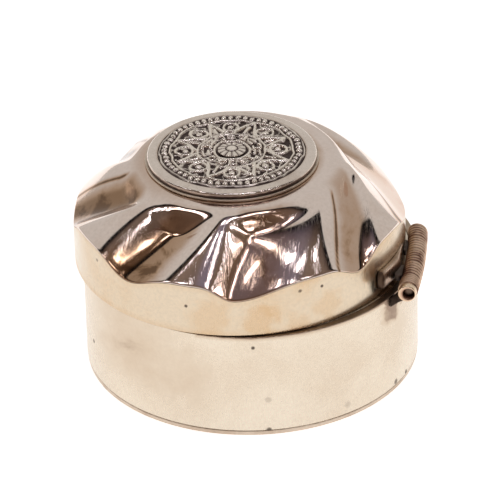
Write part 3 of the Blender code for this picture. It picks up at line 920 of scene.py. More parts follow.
@dataclass(frozen=True)
class Lid:
    """The lid's band and its fluted crown. Sizes are in metres."""

    radius: float = LID_RADIUS
    wall: float = 0.0009
    centre: tuple[float, float] = LID_CENTRE
    plate_centre: tuple[float, float] = MEDALLION_CENTRE
    bottom: float = 0.0136
    crown: float = 0.0259
    dome_start: float = 0.0108
    dome_front: float = 0.0021
    dome_soft: float = 0.0012
    level_rim: float = 0.0203
    shell: float = 0.0008
    rim_rounding: float = 0.00012
    dent: float = 0.00007
    ripple: float = 0.00004
    seam: float = SEAM
    segments: int = 400
    flutes: Flutes = Flutes()

    def height(self, radius: Array, angle: Array) -> Array:
        """Height of the crown's outer surface.

        Formula: level in the middle, then a softened cone down to the rim, fuller where the
        rim is low, less the flute depth times the trough, which sets in over a short run.
        """
        phase = self.flutes.phase(radius, angle, self.radius)
        rim = self.flutes.rim(phase)
        start = self.dome_start + self.dome_front * smooth_step(1.6 * np.cos(angle - 0.75) - 0.6)
        run = np.clip(radius - start, 0.0, None)
        whole = self.radius - start
        fall = np.hypot(run, self.dome_soft) - self.dome_soft
        fall = fall / (np.hypot(whole, self.dome_soft) - self.dome_soft)
        full = 1.05 + 330.0 * np.clip(self.level_rim - rim, 0.0, None)
        ridge = self.crown - (self.crown - rim) * fall**full
        trough = self.flutes.trough(phase, self.flutes.out(radius, self.radius), angle)
        depth = self.flutes.depth * smooth_step((radius - self.flutes.start) / self.flutes.run_in)
        return ridge - depth * trough

    def _tarnish(self, radius: Array, angle: Array) -> Array:
        """Brown deposit along the flute bottoms, with painted shade: dark lines on the flute walls
        and a shadow ring close to the medallion.

        Formula: a smooth step of the trough, which sets in past the medallion, a thin darker
        line where the wall of each flute begins, which paints the black reflection lines away from
        the front, and a ring that fades within a millimetre, which paints the shadow at the
        medallion's foot.
        """
        phase = self.flutes.phase(radius, angle, self.radius)
        trough = 0.5 + 0.5 * np.cos(phase)
        begun = smooth_step((radius - 0.0113) / 0.0018)
        amount = 0.72 + 0.30 * smooth_step(0.3 - 1.2 * np.sin(angle + 0.2))
        flute = amount * smooth_step((trough - 0.22) / 0.62) * begun

        # Painted reflection: a thin dark line where each flute's wall begins, on the sides away
        # from the front.
        descending = np.sin(phase) < 0.0
        facing = np.cos(angle + 0.25) < 0.55
        line = np.exp(-(((trough - 0.34) / 0.07) ** 2)) * descending * facing
        line = 1.25 * line * smooth_step((radius - 0.0125) / 0.001)

        # Painted shadow: a dark ring at the medallion's foot, wider on the -Y side.
        near = np.hypot(
            radius * np.cos(angle) + self.centre[0] - self.plate_centre[0],
            radius * np.sin(angle) + self.centre[1] - self.plate_centre[1])
        ring = 0.9 * (1.0 - smooth_step((near - 0.0100) / 0.0009))
        wide = 0.5 * (1.0 - smooth_step((near - 0.0104) / 0.0022)) * smooth_step(-np.sin(angle))
        return np.maximum(np.maximum(flute, line), np.maximum(ring, wide))

    def _crown(self, finish: Finishes) -> None:
        """The fluted shell: a fine outer surface, a rounded rim and a plainer inner surface."""
        edge = self.rim_rounding
        curl = np.linspace(0.25, 1.0, 5) * 0.5 * math.pi
        outer = np.concatenate([
            np.array([0.003, 0.006, 0.0085, 0.0098]),
            np.linspace(0.0104, self.radius - edge, 84),
            self.radius - edge * (1.0 - np.sin(curl)),
        ])
        sink = np.zeros(len(outer))
        sink[-len(curl):] = edge * (1.0 - np.cos(curl))
        radius, turn = around(outer, self.segments)
        z = self.height(radius, turn) - sink[:, None] + self.seam
        worked = smooth_step((radius - 0.0105) / 0.002)
        worked = worked * smooth_step((self.radius - radius) / 0.001)
        z = z + worked * unevenness(turn, radius, 11, self.ripple, 22, 900.0)
        top = np.stack([radius * np.cos(turn), radius * np.sin(turn), z], axis=-1)
        under, turn_in = around(np.linspace(1.0, 0.15, 34), self.segments)
        z_in = self.height(under * self.radius, turn_in) + self.seam
        z_in = z_in - self.shell * (1.0 - under**8)
        z_in = np.where(under > 0.999, z_in - edge, z_in)
        inner = under * (self.radius - self.wall)
        below = np.stack([inner * np.cos(turn_in), inner * np.sin(turn_in), z_in], axis=-1)
        rings = np.concatenate([top, below])
        rings[..., 0] += self.centre[0]
        rings[..., 1] += self.centre[1]
        shell = Surface.lens(
            rings,
            (*self.centre, self.crown + self.seam),
            (*self.centre, self.crown + self.seam - self.shell))
        brown = np.concatenate([self._tarnish(radius, turn), 0.35 + 0.0 * turn_in])
        shell.marks[Mark.TARNISH] = np.concatenate([brown.ravel(), [0.2, 0.35]])
        shell.place("fluted_crown", finish.crown, Body.LID, "polished_silver", "lid_crown", 50.0)

    def _band(self, finish: Finishes) -> None:
        """The plain hoop: its outline is stretched at each angle up to the scalloped rim."""
        tall = 0.006
        outline = rounded_outline(
            box((self.radius - self.wall, 0.0), (self.radius, tall)),
            [0.0001, 0.00022, 0.00006, 0.00006])
        outline = filled_outline(outline, 0.00035)
        rings = turned(outline, self.segments)
        _, angle = around(outline[:, 0], self.segments)
        rim = self.height(np.full_like(angle, self.radius), angle) - self.rim_rounding
        share = rings[..., 2] / tall
        z = self.bottom + share * (rim - self.bottom)
        away = smooth_step(share / 0.25) * smooth_step((1.0 - share) / 0.25)
        dent = unevenness(angle, z, 5, self.dent, 8) * away
        rings[..., 0] += self.centre[0] + dent * np.cos(angle)
        rings[..., 1] += self.centre[1] + dent * np.sin(angle)
        rings[..., 2] = z
        hoop = Surface.hoop(rings)
        # Painted shade: darker along the lower edge, in the seam over the drum, and in a dark line
        # just under the crown's rim.
        low = 1.0 - smooth_step((z - self.bottom) / 0.0012)
        high = 1.0 - smooth_step((rim - z) / 0.0010)
        hoop.marks[Mark.TARNISH] = np.maximum(low, 0.7 * high).ravel()
        hoop.place("lid_hoop", finish.band, Body.LID, "warm_silver", "lid_band")

    def build(self, finish: Finishes) -> None:
        """Makes the band and the crown.

        Args:
            finish: All finishes.
        """
        self._band(finish)
        self._crown(finish)


@dataclass(frozen=True)
class Medallion:
    """Seat plate, frame, cast sun disc and boss on top of the crown. Sizes are in metres."""

    centre: tuple[float, float] = MEDALLION_CENTRE
    low: float = 0.0260
    plate_radius: float = 0.0103
    plate_height: float = 0.00028
    seam: float = SEAM
    frame_radius: float = 0.01005
    frame_inner: float = 0.00872
    frame_height: float = 0.00062
    relief_radius: float = 0.00866
    relief_floor: float = 0.00060
    relief_height: float = 0.00038
    boss_radius: float = 0.00165
    turn: float = math.radians(7.85)
    segments: int = 280
    beads: int = 58
    relief_grid: tuple[int, int] = (118, 640)
    boss_grid: tuple[int, int] = (40, 144)

    @staticmethod
    def _stroke(distance: Array, half_width: float) -> Array:
        """Round-backed raised line: the square root of 1 - (distance / half width)^2."""
        return np.sqrt(np.clip(1.0 - (distance / half_width) ** 2, 0.0, 1.0))

    @staticmethod
    def _cell(angle: Array, count: int, offset: float = 0.0) -> tuple[Array, Array]:
        """Angle from the middle of the nearest of count equal cells, and that cell's number."""
        place = angle * count / TAU + offset
        number = np.round(place).astype(int)
        return (place - number) * TAU / count, number % count

    def _blocks(self, r: Array, angle: Array) -> Array:
        """Ring of small blocks round the boss: hooked squares and ladders by turns.

        Formula: strokes at a fixed box distance from each block's middle, with a gap on one
        side, or two straight strokes across the block.
        """
        off, number = self._cell(angle, 14)
        s, v = off * r, r - 3.08
        square = np.maximum(np.abs(s), np.abs(v))
        hook = self._stroke(square - 0.42, 0.17) * ((s < 0.12) | (v > 0.15))
        rung = np.minimum(np.abs(v - 0.3), np.abs(v + 0.25))
        ladder = self._stroke(rung, 0.17) * (np.abs(s) < 0.5)
        return np.where(number % 2 == 0, hook, ladder) * (np.abs(v) < 0.66)

    def _rays(self, r: Array, angle: Array) -> Array:
        """Eight V rays, long and short by turns, each with a spine.

        Formula: two strokes whose distance from the ray's middle line shrinks evenly to
        nothing at the tip, and a third along the middle line.
        """
        root = 4.1
        off, number = self._cell(angle, 8, 0.5)
        s = np.abs(off * r)
        major = number % 2 == 0
        tip = np.where(major, 7.0, 6.7)
        spread = np.where(major, 1.38, 1.12)
        side = s - spread * (tip - r) / (tip - root)
        flank = ((r > root) & (r < tip + 0.15)) * self._stroke(side * 0.9, 0.25)
        spine = ((r > 4.2) & (r < tip - 1.3)) * self._stroke(s, 0.2) * 0.9
        return np.maximum(flank, spine)

    def _ovals(self, r: Array, angle: Array) -> Array:
        """Between each two rays, an oval with a seed inside and a bar below.

        Formula: a stroke at a fixed distance from the oval's middle, and two round humps.
        """
        off, _ = self._cell(angle, 8)
        s = off * r
        clear = (r > 4.15) & (r < 7.0)
        q = np.hypot(s, (r - 5.55) / 1.05)
        rim = clear * self._stroke(q - 0.95, 0.20) * 0.95
        seed = clear * self._stroke(np.hypot(s, r - 5.5), 0.42)
        bar = self._stroke(np.hypot(s / 1.6, r - 4.55), 0.24) * clear
        return np.maximum(np.maximum(rim, seed), bar)

    def carving(self, r: Array, angle: Array) -> Array:
        """Height of the sun disc's carving, from 0 to 1.

        Formula: the highest of these at each place: plain rings, the blocks, the rays, the
        ovals, a ring of beads, and winding strokes where a smooth noise crosses zero. A second
        noise bends every line a little, as in worn cast metal.

        Args:
            r: Distance from the middle, in millimetres.
            angle: Angle about the middle.

        Returns:
            Height at each place.
        """
        stroke = self._stroke
        x, y = r * np.cos(angle), r * np.sin(angle)
        r = r + 0.16 * value_noise(0.9 * x + 7.0, 0.9 * y + 1.0, 26)
        angle = angle + 0.18 * value_noise(0.7 * x + 1.0, 0.7 * y + 8.0, 27) / np.maximum(r, 1.5)
        parts = [stroke(r - radius, width) * high for radius, width, high in (
            (2.18, 0.20, 0.8), (3.98, 0.17, 0.7), (7.22, 0.15, 0.8), (8.5, 0.14, 0.5))]
        parts += [self._blocks(r, angle), self._rays(r, angle), self._ovals(r, angle)]
        off, _ = self._cell(angle, self.beads)
        parts.append(stroke(np.hypot(off * r, (r - 7.88) * 0.85), 0.33))
        wind = value_noise(1.35 * x + 9.0, 1.35 * y + 5.0, 21)
        wind = wind + 0.35 * value_noise(2.9 * x + 2.0, 2.9 * y + 3.0, 22)
        fill = stroke(wind, 0.18) * 0.55
        parts.append(fill * ((r > 2.3) & (r < 7.0)))
        high = np.max(np.stack(parts), axis=0)
        rough = 0.05 * value_noise(9.0 * x, 9.0 * y, 23)
        rough = rough + 0.03 * value_noise(19.0 * x, 19.0 * y, 24)
        uneven = 1.0 + 0.2 * value_noise(0.8 * x + 3.0, 0.8 * y, 25)
        return np.clip(high * uneven * 0.9 + rough + 0.04, 0.0, 1.0)

    def _relief(self, finish: Finishes, low: float) -> None:
        """The cast disc: a polar grid raised by the carving."""
        count, segments = self.relief_grid
        edge = self.relief_radius / MM
        rings = np.concatenate([np.linspace(1.35, edge - 0.06, count), [edge - 0.02, edge, edge]])
        r, angle = around(rings, segments)
        carved = self.carving(r, angle - self.turn)
        fade = smooth_step((edge - 0.02 - r) / 0.12)
        z = self.relief_floor + self.relief_height * carved * fade
        z[-1] = 0.0
        points = np.stack([
            self.centre[0] + r * MM * np.cos(angle),
            self.centre[1] + r * MM * np.sin(angle),
            low + z], axis=-1)
        disc = Surface.lens(
            points, (*self.centre, low + self.relief_floor), (*self.centre, low))
        # Grime lies where the carving is deep, and where a higher part stands beside it.
        blurred = sum(
            np.roll(np.roll(carved, i, axis=1), j, axis=0)
            for i in (-6, 0, 6) for j in (-2, 0, 2)) / 9.0
        dark = 1.0 - smooth_step((carved - 0.22 * blurred - 0.14) / 0.38)
        disc.marks[Mark.TARNISH] = np.concatenate([dark.ravel(), [1.0, 1.0]])
        disc.place(
            "sun_disc", finish.relief, Body.LID, "oxidised_silver", "medallion_relief", 180.0)

    def _boss(self, finish: Finishes, low: float) -> None:
        """The centre boss: a low dome cut into twelve petals round a raised button."""
        count, segments = self.boss_grid
        s, angle = around(np.concatenate([np.linspace(0.06, 1.0, count), [1.0]]), segments)
        dome = 0.00012 + 0.00030 * np.sqrt(np.clip(1.0 - 0.92 * s**2, 0.0, 1.0))
        petals = np.abs(np.sin(6.0 * (angle - self.turn))) ** 0.5
        cut = smooth_step((s - 0.42) / 0.12) * (1.0 - petals) * 0.00012
        groove = 0.00010 * np.exp(-(((s - 0.42) / 0.07) ** 2))
        rough = 0.00002 * value_noise(12.0 * s * np.cos(angle), 12.0 * s * np.sin(angle), 31)
        z = dome - cut - groove + rough
        z[-1] = 0.0
        radius = s * self.boss_radius * (1.0 - 0.03 * (1.0 - petals))
        points = np.stack([
            self.centre[0] + radius * np.cos(angle),
            self.centre[1] + radius * np.sin(angle), low + z], axis=-1)
        boss = Surface.lens(points, (*self.centre, low + 0.00042), (*self.centre, low))
        dark = np.clip((cut + groove) / 0.00009, 0.0, 1.0)
        boss.marks[Mark.TARNISH] = np.concatenate([dark.ravel(), [0.0, 1.0]])
        boss.place("sun_boss", finish.relief, Body.LID, "oxidised_silver", "medallion_boss", 180.0)

    def _turned(self, outline: Array, low: float, wobble: float, seed: int) -> Array:
        """A turned shape about the medallion's axis, with a slightly wavering outer edge."""
        rings = turned(outline, self.segments)
        _, angle = around(outline[:, 0], self.segments)
        waver = 1.0 + unevenness(angle, rings[..., 2], seed, wobble, 12) / self.frame_radius
        rings[..., 0] = self.centre[0] + rings[..., 0] * waver
        rings[..., 1] = self.centre[1] + rings[..., 1] * waver
        rings[..., 2] += low
        return rings

    def build(self, finish: Finishes) -> None:
        """Makes the four pieces, from the lowest up.

        Args:
            finish: All finishes.
        """
        plate = plate_outline(self.plate_radius, self.plate_height, (0.00005, 0.00012), 0.0015)
        Surface.lens(
            self._turned(plate, self.low, 0.00006, 41),
            (*self.centre, self.low), (*self.centre, self.low + self.plate_height),
        ).place("seat_plate", finish.plate, Body.LID, "plate_silver", "medallion_seat_plate")
        low = self.low + self.plate_height + self.seam
        ring = rounded_outline(
            box((self.frame_inner, 0.0), (self.frame_radius, self.frame_height)),
            [0.00002, 0.00010, 0.00046, 0.00014], 10)
        ring = filled_outline(ring, 0.00016)
        hoop = Surface.hoop(self._turned(ring, low, 0.00004, 42))
        # Painted shade: the outer lower side of the frame is darkened as the shadow gap and dark
        # reflection under its rounded edge; the inner edge beside the disc is darker too.
        outside = smooth_step((ring[:, 0] - self.frame_radius + 0.0003) / 0.0002)
        inside = 0.8 * (1.0 - smooth_step((ring[:, 0] - self.frame_inner) / 0.00022))
        darkened_edges = np.maximum(outside * (1.0 - smooth_step((ring[:, 1] - 0.00028) / 0.00016)), inside)
        hoop.marks[Mark.TARNISH] = np.repeat(darkened_edges, self.segments)
        hoop.place("medallion_rim", finish.frame, Body.LID, "frame_silver", "medallion_frame")
        self._relief(finish, low)
        self._boss(finish, low + self.relief_floor + 0.12 * self.relief_height + self.seam)


@dataclass(frozen=True)
class Hinge:
    """The ribbed barrel in five knuckles, its pin, its solder feet and the lid's hinge bar.

    The pin runs along X. The near end, which carries the collar, is at the larger x.
    """

    pin_y: float = 0.01995
    pin_z: float = 0.0149
    pin_radius: float = 0.0006
    bore: float = 0.00067
    radius: float = 0.0012
    near: float = 0.0109
    far: float = -0.0035
    bow: float = 0.00032
    set_back: float = 0.0002
    collar_length: float = 0.0009
    collar_radius: float = 0.00108
    gap: float = 0.00012
    knuckles: int = 5
    ribs: int = 5
    rib_depth: float = 0.00019
    segments: int = 44
    bar_start: float = 0.0023
    bar_end: float = 0.0099
    bar_bottom: float = 0.0145
    bar_top: float = 0.0169
    bar_thickness: float = 0.0008
    bar_rounding: float = 0.0006
    foot_recess: float = 0.0013
    seam: float = SEAM
    drum_radius: float = DRUM_RADIUS
    lid: Lid = Lid()

    def _axis(self, x: Array) -> Array:
        """Y of the barrel's outside axis, which bows outwards between its ends."""
        middle = 0.5 * (self.near + self.far)
        half = 0.5 * (self.near - self.far)
        return self.pin_y - self.set_back + self.bow * (1.0 - ((x - middle) / half) ** 2)

    def _span(self, index: int) -> tuple[float, float]:
        """X limits of a knuckle, counted from the near end."""
        length = (self.near - self.far - (self.knuckles - 1) * self.gap) / self.knuckles
        high = self.near - index * (length + self.gap)
        return high - length, high

    def _ribs(self, low: float, high: float, index: int) -> tuple[Array, Array, Array, Array]:
        """The ribbed run of a knuckle.

        Formula: the outside radius is the barrel's, less the rib depth times how far the
        place is from the top of its rib; the rib number grows with x and with the angle.

        Args:
            low: Lower end of the run along x.
            high: Upper end of the run.
            index: Number of the knuckle, which seeds its wear.

        Returns:
            The x, the angle, the radius and the tarnish at each place.
        """
        pitch = (high - low) / self.ribs
        x, turn = around(np.linspace(low, high, 12 * self.ribs + 1), self.segments)
        rib = ((x - low) / pitch + turn / TAU) % 1.0
        hollow = 1.0 - np.sqrt(np.clip(1.0 - (2.0 * rib - 1.0) ** 2, 0.0, 1.0))
        end = np.minimum(x - low, high - x) / (0.12 * pitch)
        rim = 0.00006 * (1.0 - smooth_step(end))
        worn = unevenness(turn, x, 50 + index, 0.00003, 5)
        radius = self.radius - self.rib_depth * hollow - rim + worn
        dirt = np.clip(0.50 + 0.95 * smooth_step(1.5 * hollow - 0.2), 0.0, 1.4)
        return x, turn, radius, dirt

    def _collar(self, high: float) -> tuple[Array, Array, Array, Array]:
        """The plain collar at the near end: x, angle, radius and tarnish, as for the ribs."""
        steps = np.array([0.0, 0.06, 0.35, 0.7, 0.86, 0.95, 1.0])
        drop = np.array([0.00008, 0.0, 0.0, 0.0, 0.00002, 0.00006, 0.00012])
        darkened_edges = np.array([1.0, 0.3, 0.0, 0.0, 0.0, 0.0, 0.2])
        start = high - self.collar_length
        x, turn = around(start + steps * self.collar_length, self.segments)
        radius, _ = around(self.collar_radius - drop, self.segments)
        dirt, _ = around(darkened_edges, self.segments)
        return x, turn, radius, dirt

    def _knuckle(self, index: int) -> Surface:
        """One knuckle: ribs that wind slightly round the barrel, and a straight bore."""
        low, high = self._span(index)
        has_collar = index == 0
        parts = [self._ribs(low, high - self.collar_length * has_collar, index)]
        if has_collar:
            parts.append(self._collar(high))
        x, turn, radius, dirt = (np.vstack(rows) for rows in zip(*parts))
        y = self._axis(x) + radius * np.cos(turn)
        z = self.pin_z + radius * np.sin(turn)
        outside = np.stack([x, y, z], axis=-1)
        lip, inset, flare = 0.00012, 0.00002, 0.00008
        bore_x, turn = around(
            np.array([high - inset, high - lip, low + lip, low + inset]), self.segments)
        bore = self.bore + flare * np.array([1.0, 0.0, 0.0, 1.0])[:, None]
        inside = np.stack([
            bore_x, self.pin_y + bore * np.cos(turn), self.pin_z + bore * np.sin(turn)], axis=-1)
        made = Surface.hoop(np.concatenate([outside, inside]))
        made.marks[Mark.TARNISH] = np.concatenate([dirt.ravel(), np.ones(bore_x.size)])
        return made

    def _lid_wall(self, x: Array) -> Array:
        """Y of the lid band's outer surface."""
        across = x - self.lid.centre[0]
        return np.sqrt(self.lid.radius**2 - across**2) + self.lid.centre[1]

    def _bar_depth(self, x: Array) -> Array:
        """Thickness of the hinge bar, a wedge that thins where the barrel comes close."""
        room = self.pin_y - self.radius - 0.00024 - self._lid_wall(x)
        return np.minimum(self.bar_thickness, room)

    @staticmethod
    def _even(outline: Array, count: int) -> Array:
        """The same closed outline with evenly spaced points."""
        ring = np.vstack([outline, outline[:1]])
        length = np.concatenate([[0.0], np.cumsum(np.linalg.norm(np.diff(ring, axis=0), axis=1))])
        at = np.linspace(0.0, length[-1], count, endpoint=False)
        return np.stack([np.interp(at, length, ring[:, i]) for i in range(2)], axis=1)

    def _base_outline(self, x: float) -> Array:
        """Solder under the barrel, from the drum's wall round to the barrel's outside."""
        wall = math.sqrt(self.drum_radius**2 - x * x) + self.seam
        centre = float(self._axis(np.array(x)))
        reach = self.radius + self.seam
        across = (wall - centre) / reach
        start = math.radians(218.0)
        if across > math.cos(start):
            start = TAU - math.acos(across)
        angle = np.linspace(start, math.radians(300.0), 9)
        arc = np.stack([centre + reach * np.cos(angle), self.pin_z + reach * np.sin(angle)], axis=1)
        first = [(wall, 0.0121), (wall, min(0.01345, self.pin_z + reach * math.sin(start)))]
        last = [(wall + 0.35 * (arc[-1, 0] - wall), 0.01285)]
        return np.vstack([first, arc, last])

    def _lid_outline(self, x: float) -> Array:
        """Solder in the gap between the barrel and the lid's band or its hinge bar."""
        wall = float(self._lid_wall(np.array(x))) + self.seam
        if x > self.bar_start:
            wall += float(self._bar_depth(np.array(x))) + self.seam
        centre = float(self._axis(np.array(x)))
        reach = self.radius + self.seam
        angle = np.radians(np.linspace(190.0, 148.0, 9))
        arc = np.stack([centre + reach * np.cos(angle), self.pin_z + reach * np.sin(angle)], axis=1)
        return np.vstack([[(wall, 0.01575), (wall, 0.01465)], arc])

    def _foot(self, index: int, outline: Callable[[float], Array], seed: int) -> Surface:
        """A run of solder: outlines along x that shrink at both ends, with a lumpy skin."""
        low, high = self._span(index)
        short = 0.0002
        stations = np.linspace(low + short, high - (self.foot_recess if index == 0 else short), 26)
        section = np.stack([self._even(outline(float(x)), self.segments) for x in stations])
        middle = section.mean(axis=1, keepdims=True)
        t = np.abs(np.linspace(-1.0, 1.0, len(stations)))[:, None, None]
        shrink = np.sqrt(np.clip(1.0 - np.clip((t - 0.8) / 0.23, 0.0, 1.0) ** 2, 0.05, 1.0))
        x, turn = around(stations, self.segments)
        lumps = 1.0 + unevenness(turn, x, seed, 1.0, 7)[..., None] * 0.10 - 0.05
        section = middle + (section - middle) * shrink * lumps
        rings = np.concatenate([x[..., None], section], axis=-1)
        first = (stations[0] - 0.00002, *middle[0, 0])
        last = (stations[-1] + 0.00002, *middle[-1, 0])
        return Surface.lens(rings, first, last)

    def _bar(self) -> Surface:
        """The hinge bar: a rounded rectangle stretched at each x between band and barrel."""
        share = np.linspace(-1.0, 1.0, 60)
        middle_x = 0.5 * (self.bar_start + self.bar_end)
        reach = 0.5 * (self.bar_end - self.bar_start)
        stations = middle_x + reach * np.sin(0.5 * math.pi * share)
        unit = rounded_outline(box((0.0, 0.0), (1.0, 1.0)), [0.03, 0.49, 0.49, 0.03], 10)
        x, turn = around(stations, len(unit))
        depth = self._bar_depth(stations)[:, None] - self.seam
        inner = self._lid_wall(stations)[:, None] + self.seam
        rough = unevenness(turn, x, 71, 0.00005, 5)
        y = inner + unit[None, :, 0] * (depth + rough)
        z = self.bar_bottom + unit[None, :, 1] * (self.bar_top - self.bar_bottom) + rough
        ends = np.minimum(stations - self.bar_start, self.bar_end - stations)[:, None, None]
        rings = np.stack([x, y, z], axis=-1)
        middle = rings.mean(axis=1, keepdims=True)
        blunt = np.clip(1.0 - ends / self.bar_rounding, 0.0, 1.0)
        shrink = np.sqrt(np.clip(1.0 - blunt**2, 0.06, 1.0))
        rings[..., 1:] = (middle + (rings - middle) * shrink)[..., 1:]
        made = Surface.lens(rings, rings[0].mean(axis=0), rings[-1].mean(axis=0))
        # Painted shade: the near end and the underside of the bar are darkened, for the shade
        # between the bar and the barrel.
        edge = 1.3 * (1.0 - smooth_step((self.bar_end - x) / 0.0010))
        low = 1.1 * (1.0 - smooth_step((z - self.bar_bottom) / 0.0010))
        made.marks[Mark.TARNISH] = np.concatenate([np.maximum(edge, low).ravel(), [1.0, 1.0]])
        return made

    def _pin(self) -> Surface:
        """The pin: a round wire with a slightly domed, worn near end."""
        stations = np.array([
            self.near - 0.00060, self.near - 0.00064, self.near - 0.00074,
            0.004, 0.0, self.far + 0.00025, self.far + 0.0001])
        radius = self.pin_radius * np.array([0.5, 0.82, 1.0, 1.0, 1.0, 1.0, 0.85])[:, None]
        x, turn = around(stations, 40)
        rings = np.stack([
            x, self.pin_y + radius * np.cos(turn), self.pin_z + radius * np.sin(turn)], axis=-1)
        first = (self.near - 0.00058, self.pin_y, self.pin_z)
        last = (self.far + 0.0001, self.pin_y, self.pin_z)
        return Surface.lens(rings, first, last)

    def build(self, finish: Finishes) -> None:
        """Makes the knuckles, feet, pin and bar.

        Args:
            finish: All finishes.
        """
        places = (("near", Body.BASE), ("near", Body.LID), ("middle", Body.BASE),
                  ("far", Body.LID), ("far", Body.BASE))
        for index, (place, body) in enumerate(places):
            side = "base" if body is Body.BASE else "lid"
            outline = self._base_outline if body is Body.BASE else self._lid_outline
            self._knuckle(index).place(
                f"{side}_barrel_{place}", finish.barrel, body, "tarnished_barrel",
                f"{side}_knuckle_{place}", 60.0)
            self._foot(index, outline, 60 + index).place(
                f"{side}_solder_{place}", finish.solder, body, "grey_solder",
                f"{side}_foot_{place}", 60.0)
        self._pin().place("pin_wire", finish.pin, Body.BASE, "dark_pin", "hinge_pin")
        self._bar().place("hinge_bar", finish.bar, Body.LID, "grey_solder", "lid_hinge_bar")


# ---------------------------------------------------------------- the studio


@dataclass(frozen=True)
class Lamp:
    """A soft box: its direction from the box, in degrees, its angular size and its radiance."""

    name: str
    azimuth: float
    elevation: float
    width: float
    height: float
    radiance: float
    colour: Colour = (0.90, 0.91, 1.0)


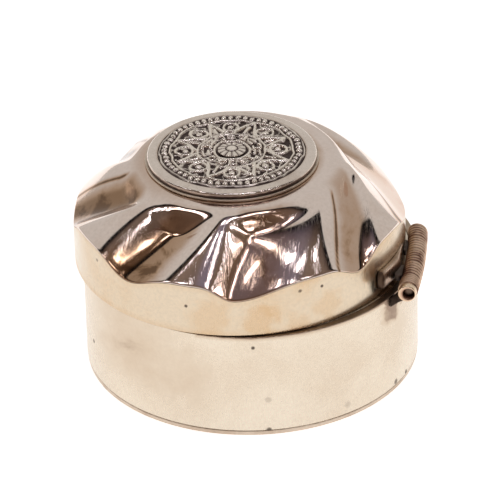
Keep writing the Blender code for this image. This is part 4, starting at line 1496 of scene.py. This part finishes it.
@dataclass(frozen=True)
class Studio:
    """Pale floor, soft light and the camera. Lamps are placed about the camera's side."""

    azimuth: float = math.radians(97.85)
    elevation: float = math.radians(30.95)
    roll: float = math.radians(-1.42)
    distance: float = 0.5
    lens: float = 300.8
    aim: tuple[float, float, float] = (0.0, 0.0, 0.012)
    shift: tuple[float, float] = (-0.0014, 0.0198)
    wall: float = 0.60
    floor_glow: float = 0.74
    floor_half: float = 1.6
    lamp_reach: float = 0.9
    tilt: float = math.radians(3.0)
    lamps: tuple[Lamp, ...] = (
        Lamp("window_left", -52.0, 53.0, 4.0, 3.0, 13.0),
        Lamp("window_far_left_low", -72.0, 40.0, 8.0, 1.8, 13.0),
        Lamp("window_far_left_high", -72.0, 46.0, 8.0, 1.8, 13.0),
        Lamp("pane_left_high", -66.0, 60.0, 3.0, 3.0, 12.0),
        Lamp("pane_middle", -14.0, 63.0, 2.0, 6.0, 12.0),
        Lamp("tube_near_right", 18.0, 56.0, 1.8, 11.0, 16.0),
        Lamp("tube_right", 45.0, 44.0, 1.8, 11.0, 16.0),
        Lamp("skylight_right", 36.0, 64.0, 7.0, 3.0, 14.0),
        Lamp("skylight_middle", 2.0, 74.0, 7.0, 2.6, 14.0),
        Lamp("pane_right", 62.0, 52.0, 2.4, 4.0, 13.0),
        Lamp("window_right_low", 28.0, 37.0, 7.0, 2.6, 14.0),
    )

    def _towards(self, azimuth: float, elevation: float) -> Vector:
        """Unit vector in a direction, with azimuth in radians from the camera's own side."""
        turn = self.azimuth + azimuth
        flat = math.cos(elevation)
        return Vector((math.sin(turn) * flat, -math.cos(turn) * flat, math.sin(elevation)))

    def _floor(self) -> None:
        """A wide pale sheet that glows a little, so that it stays evenly white."""
        half = self.floor_half
        corners = [(-half, -half, -0.00002), (half, -half, -0.00002),
                   (half, half, -0.00002), (-half, half, -0.00002)]
        mesh = bpy.data.meshes.new("pale_floor")
        mesh.from_pydata(corners, [], [(0, 1, 2, 3)])
        paint = bpy.data.materials.new("pale_floor_paper")
        paint.use_nodes = True
        graph = Graph(paint.node_tree)
        shader = paint.node_tree.nodes["Principled BSDF"]
        place = graph.node("ShaderNodeTexCoord").outputs["Object"]
        fibre = graph.noise(place, 900.0, 3.0)
        colour = graph.mix(fibre, (0.90, 0.895, 0.885), (0.94, 0.935, 0.93))
        paint.node_tree.links.new(colour, shader.inputs["Base Color"])
        shader.inputs["Roughness"].default_value = 0.9
        shader.inputs["Specular IOR Level"].default_value = 0.1
        shader.inputs["Emission Color"].default_value = (1.0, 0.99, 0.98, 1.0)
        shader.inputs["Emission Strength"].default_value = self.floor_glow
        mesh.materials.append(paint)
        floor = bpy.data.objects.new("pale_floor", mesh)
        bpy.context.scene.collection.objects.link(floor)

    def _surround(self) -> None:
        """White walls behind and beside the box, and a dim room on the camera's side.

        Formula: the dot product of the direction with the room's axis sets how far inside the
        dim room a direction is; its mouth is black and its depth is a clouded brown.
        """
        world = bpy.data.worlds.new("studio_surround")
        world.use_nodes = True
        bpy.context.scene.world = world
        graph = Graph(world.node_tree)
        back = world.node_tree.nodes["Background"]
        direction = graph.node("ShaderNodeTexCoord").outputs["Generated"]
        axis = self._towards(math.radians(-4.0), self.tilt)
        inside = graph.vector("DOT_PRODUCT", direction, tuple(axis)).outputs["Value"]
        clouds = graph.rise(graph.noise(direction, 2.4, 3.0), 0.35, 0.65)
        brown = graph.mix(clouds, (0.13, 0.096, 0.078), (0.24, 0.185, 0.155))
        dim = graph.mix(graph.rise(inside, 0.07, 0.27), (0.004, 0.003, 0.004), brown)
        glow_axis = tuple(self._towards(0.0, math.radians(66.0)))
        near = graph.vector("DOT_PRODUCT", direction, glow_axis).outputs["Value"]
        dim = graph.mix(graph.rise(near, 0.90, 1.0, 0.0, 0.8), dim, (0.22, 0.20, 0.27))
        lit = (self.wall, 0.985 * self.wall, 0.96 * self.wall)
        colour = graph.mix(graph.rise(inside, -0.01, 0.015), lit, dim)
        parts = graph.node("ShaderNodeSeparateXYZ", {0: direction})
        below = graph.rise(parts.outputs["Z"], -0.02, 0.02, 1.0, 0.0)
        colour = graph.mix(below, colour, (1.0, 0.99, 0.98))
        world.node_tree.links.new(colour, back.inputs["Color"])
        back.inputs["Strength"].default_value = 1.0

    def _lamps(self) -> None:
        """Hangs each soft box at its direction, turned to the box, with its own radiance."""
        reach = self.lamp_reach
        for lamp in self.lamps:
            data = bpy.data.lights.new(lamp.name, "AREA")
            data.shape = "RECTANGLE"
            data.size = 2.0 * reach * math.tan(math.radians(0.5 * lamp.width))
            data.size_y = 2.0 * reach * math.tan(math.radians(0.5 * lamp.height))
            data.energy = lamp.radiance * math.pi * data.size * data.size_y
            data.color = lamp.colour
            way = self._towards(math.radians(lamp.azimuth), math.radians(lamp.elevation))
            holder = bpy.data.objects.new(lamp.name, data)
            holder.location = Vector((0.0, 0.0, 0.018)) + way * reach
            holder.rotation_mode = "QUATERNION"
            holder.rotation_quaternion = (-way).to_track_quat("-Z", "Y")
            bpy.context.scene.collection.objects.link(holder)

    def _camera(self) -> None:
        """A long lens aimed a little above the floor, rolled slightly."""
        back = self._towards(0.0, self.elevation)
        right = Vector((0.0, 0.0, 1.0)).cross(back).normalized()
        up = back.cross(right)
        cos, sin = math.cos(self.roll), math.sin(self.roll)
        across = cos * right + sin * up
        above = -sin * right + cos * up
        place = Vector(self.aim) + self.distance * back
        data = bpy.data.cameras.new("camera")
        data.lens = self.lens
        data.sensor_width = 36.0
        data.shift_x, data.shift_y = self.shift
        data.clip_start = 0.01
        data.clip_end = 20.0
        holder = bpy.data.objects.new("camera", data)
        turn = Matrix((across, above, back)).transposed().to_4x4()
        holder.matrix_world = Matrix.Translation(place) @ turn
        bpy.context.scene.collection.objects.link(holder)
        bpy.context.scene.camera = holder

    def build(self) -> None:
        """Sets up floor, surround, lamps, camera and the plain picture tones."""
        self._floor()
        self._surround()
        self._lamps()
        self._camera()
        bpy.context.scene.view_settings.view_transform = "Standard"


def main() -> None:
    """Builds the studio and every sub-assembly, and reports each piece."""
    logging.basicConfig(level=logging.INFO, format="%(name)s: %(message)s")
    Studio().build()
    finish = Finishes.build()
    for assembly in (Drum(), Lid(), Medallion(), Hinge()):
        assembly.build(finish)
        LOG.info("%s done", type(assembly).__name__)


if __name__ == "__main__":
    main()
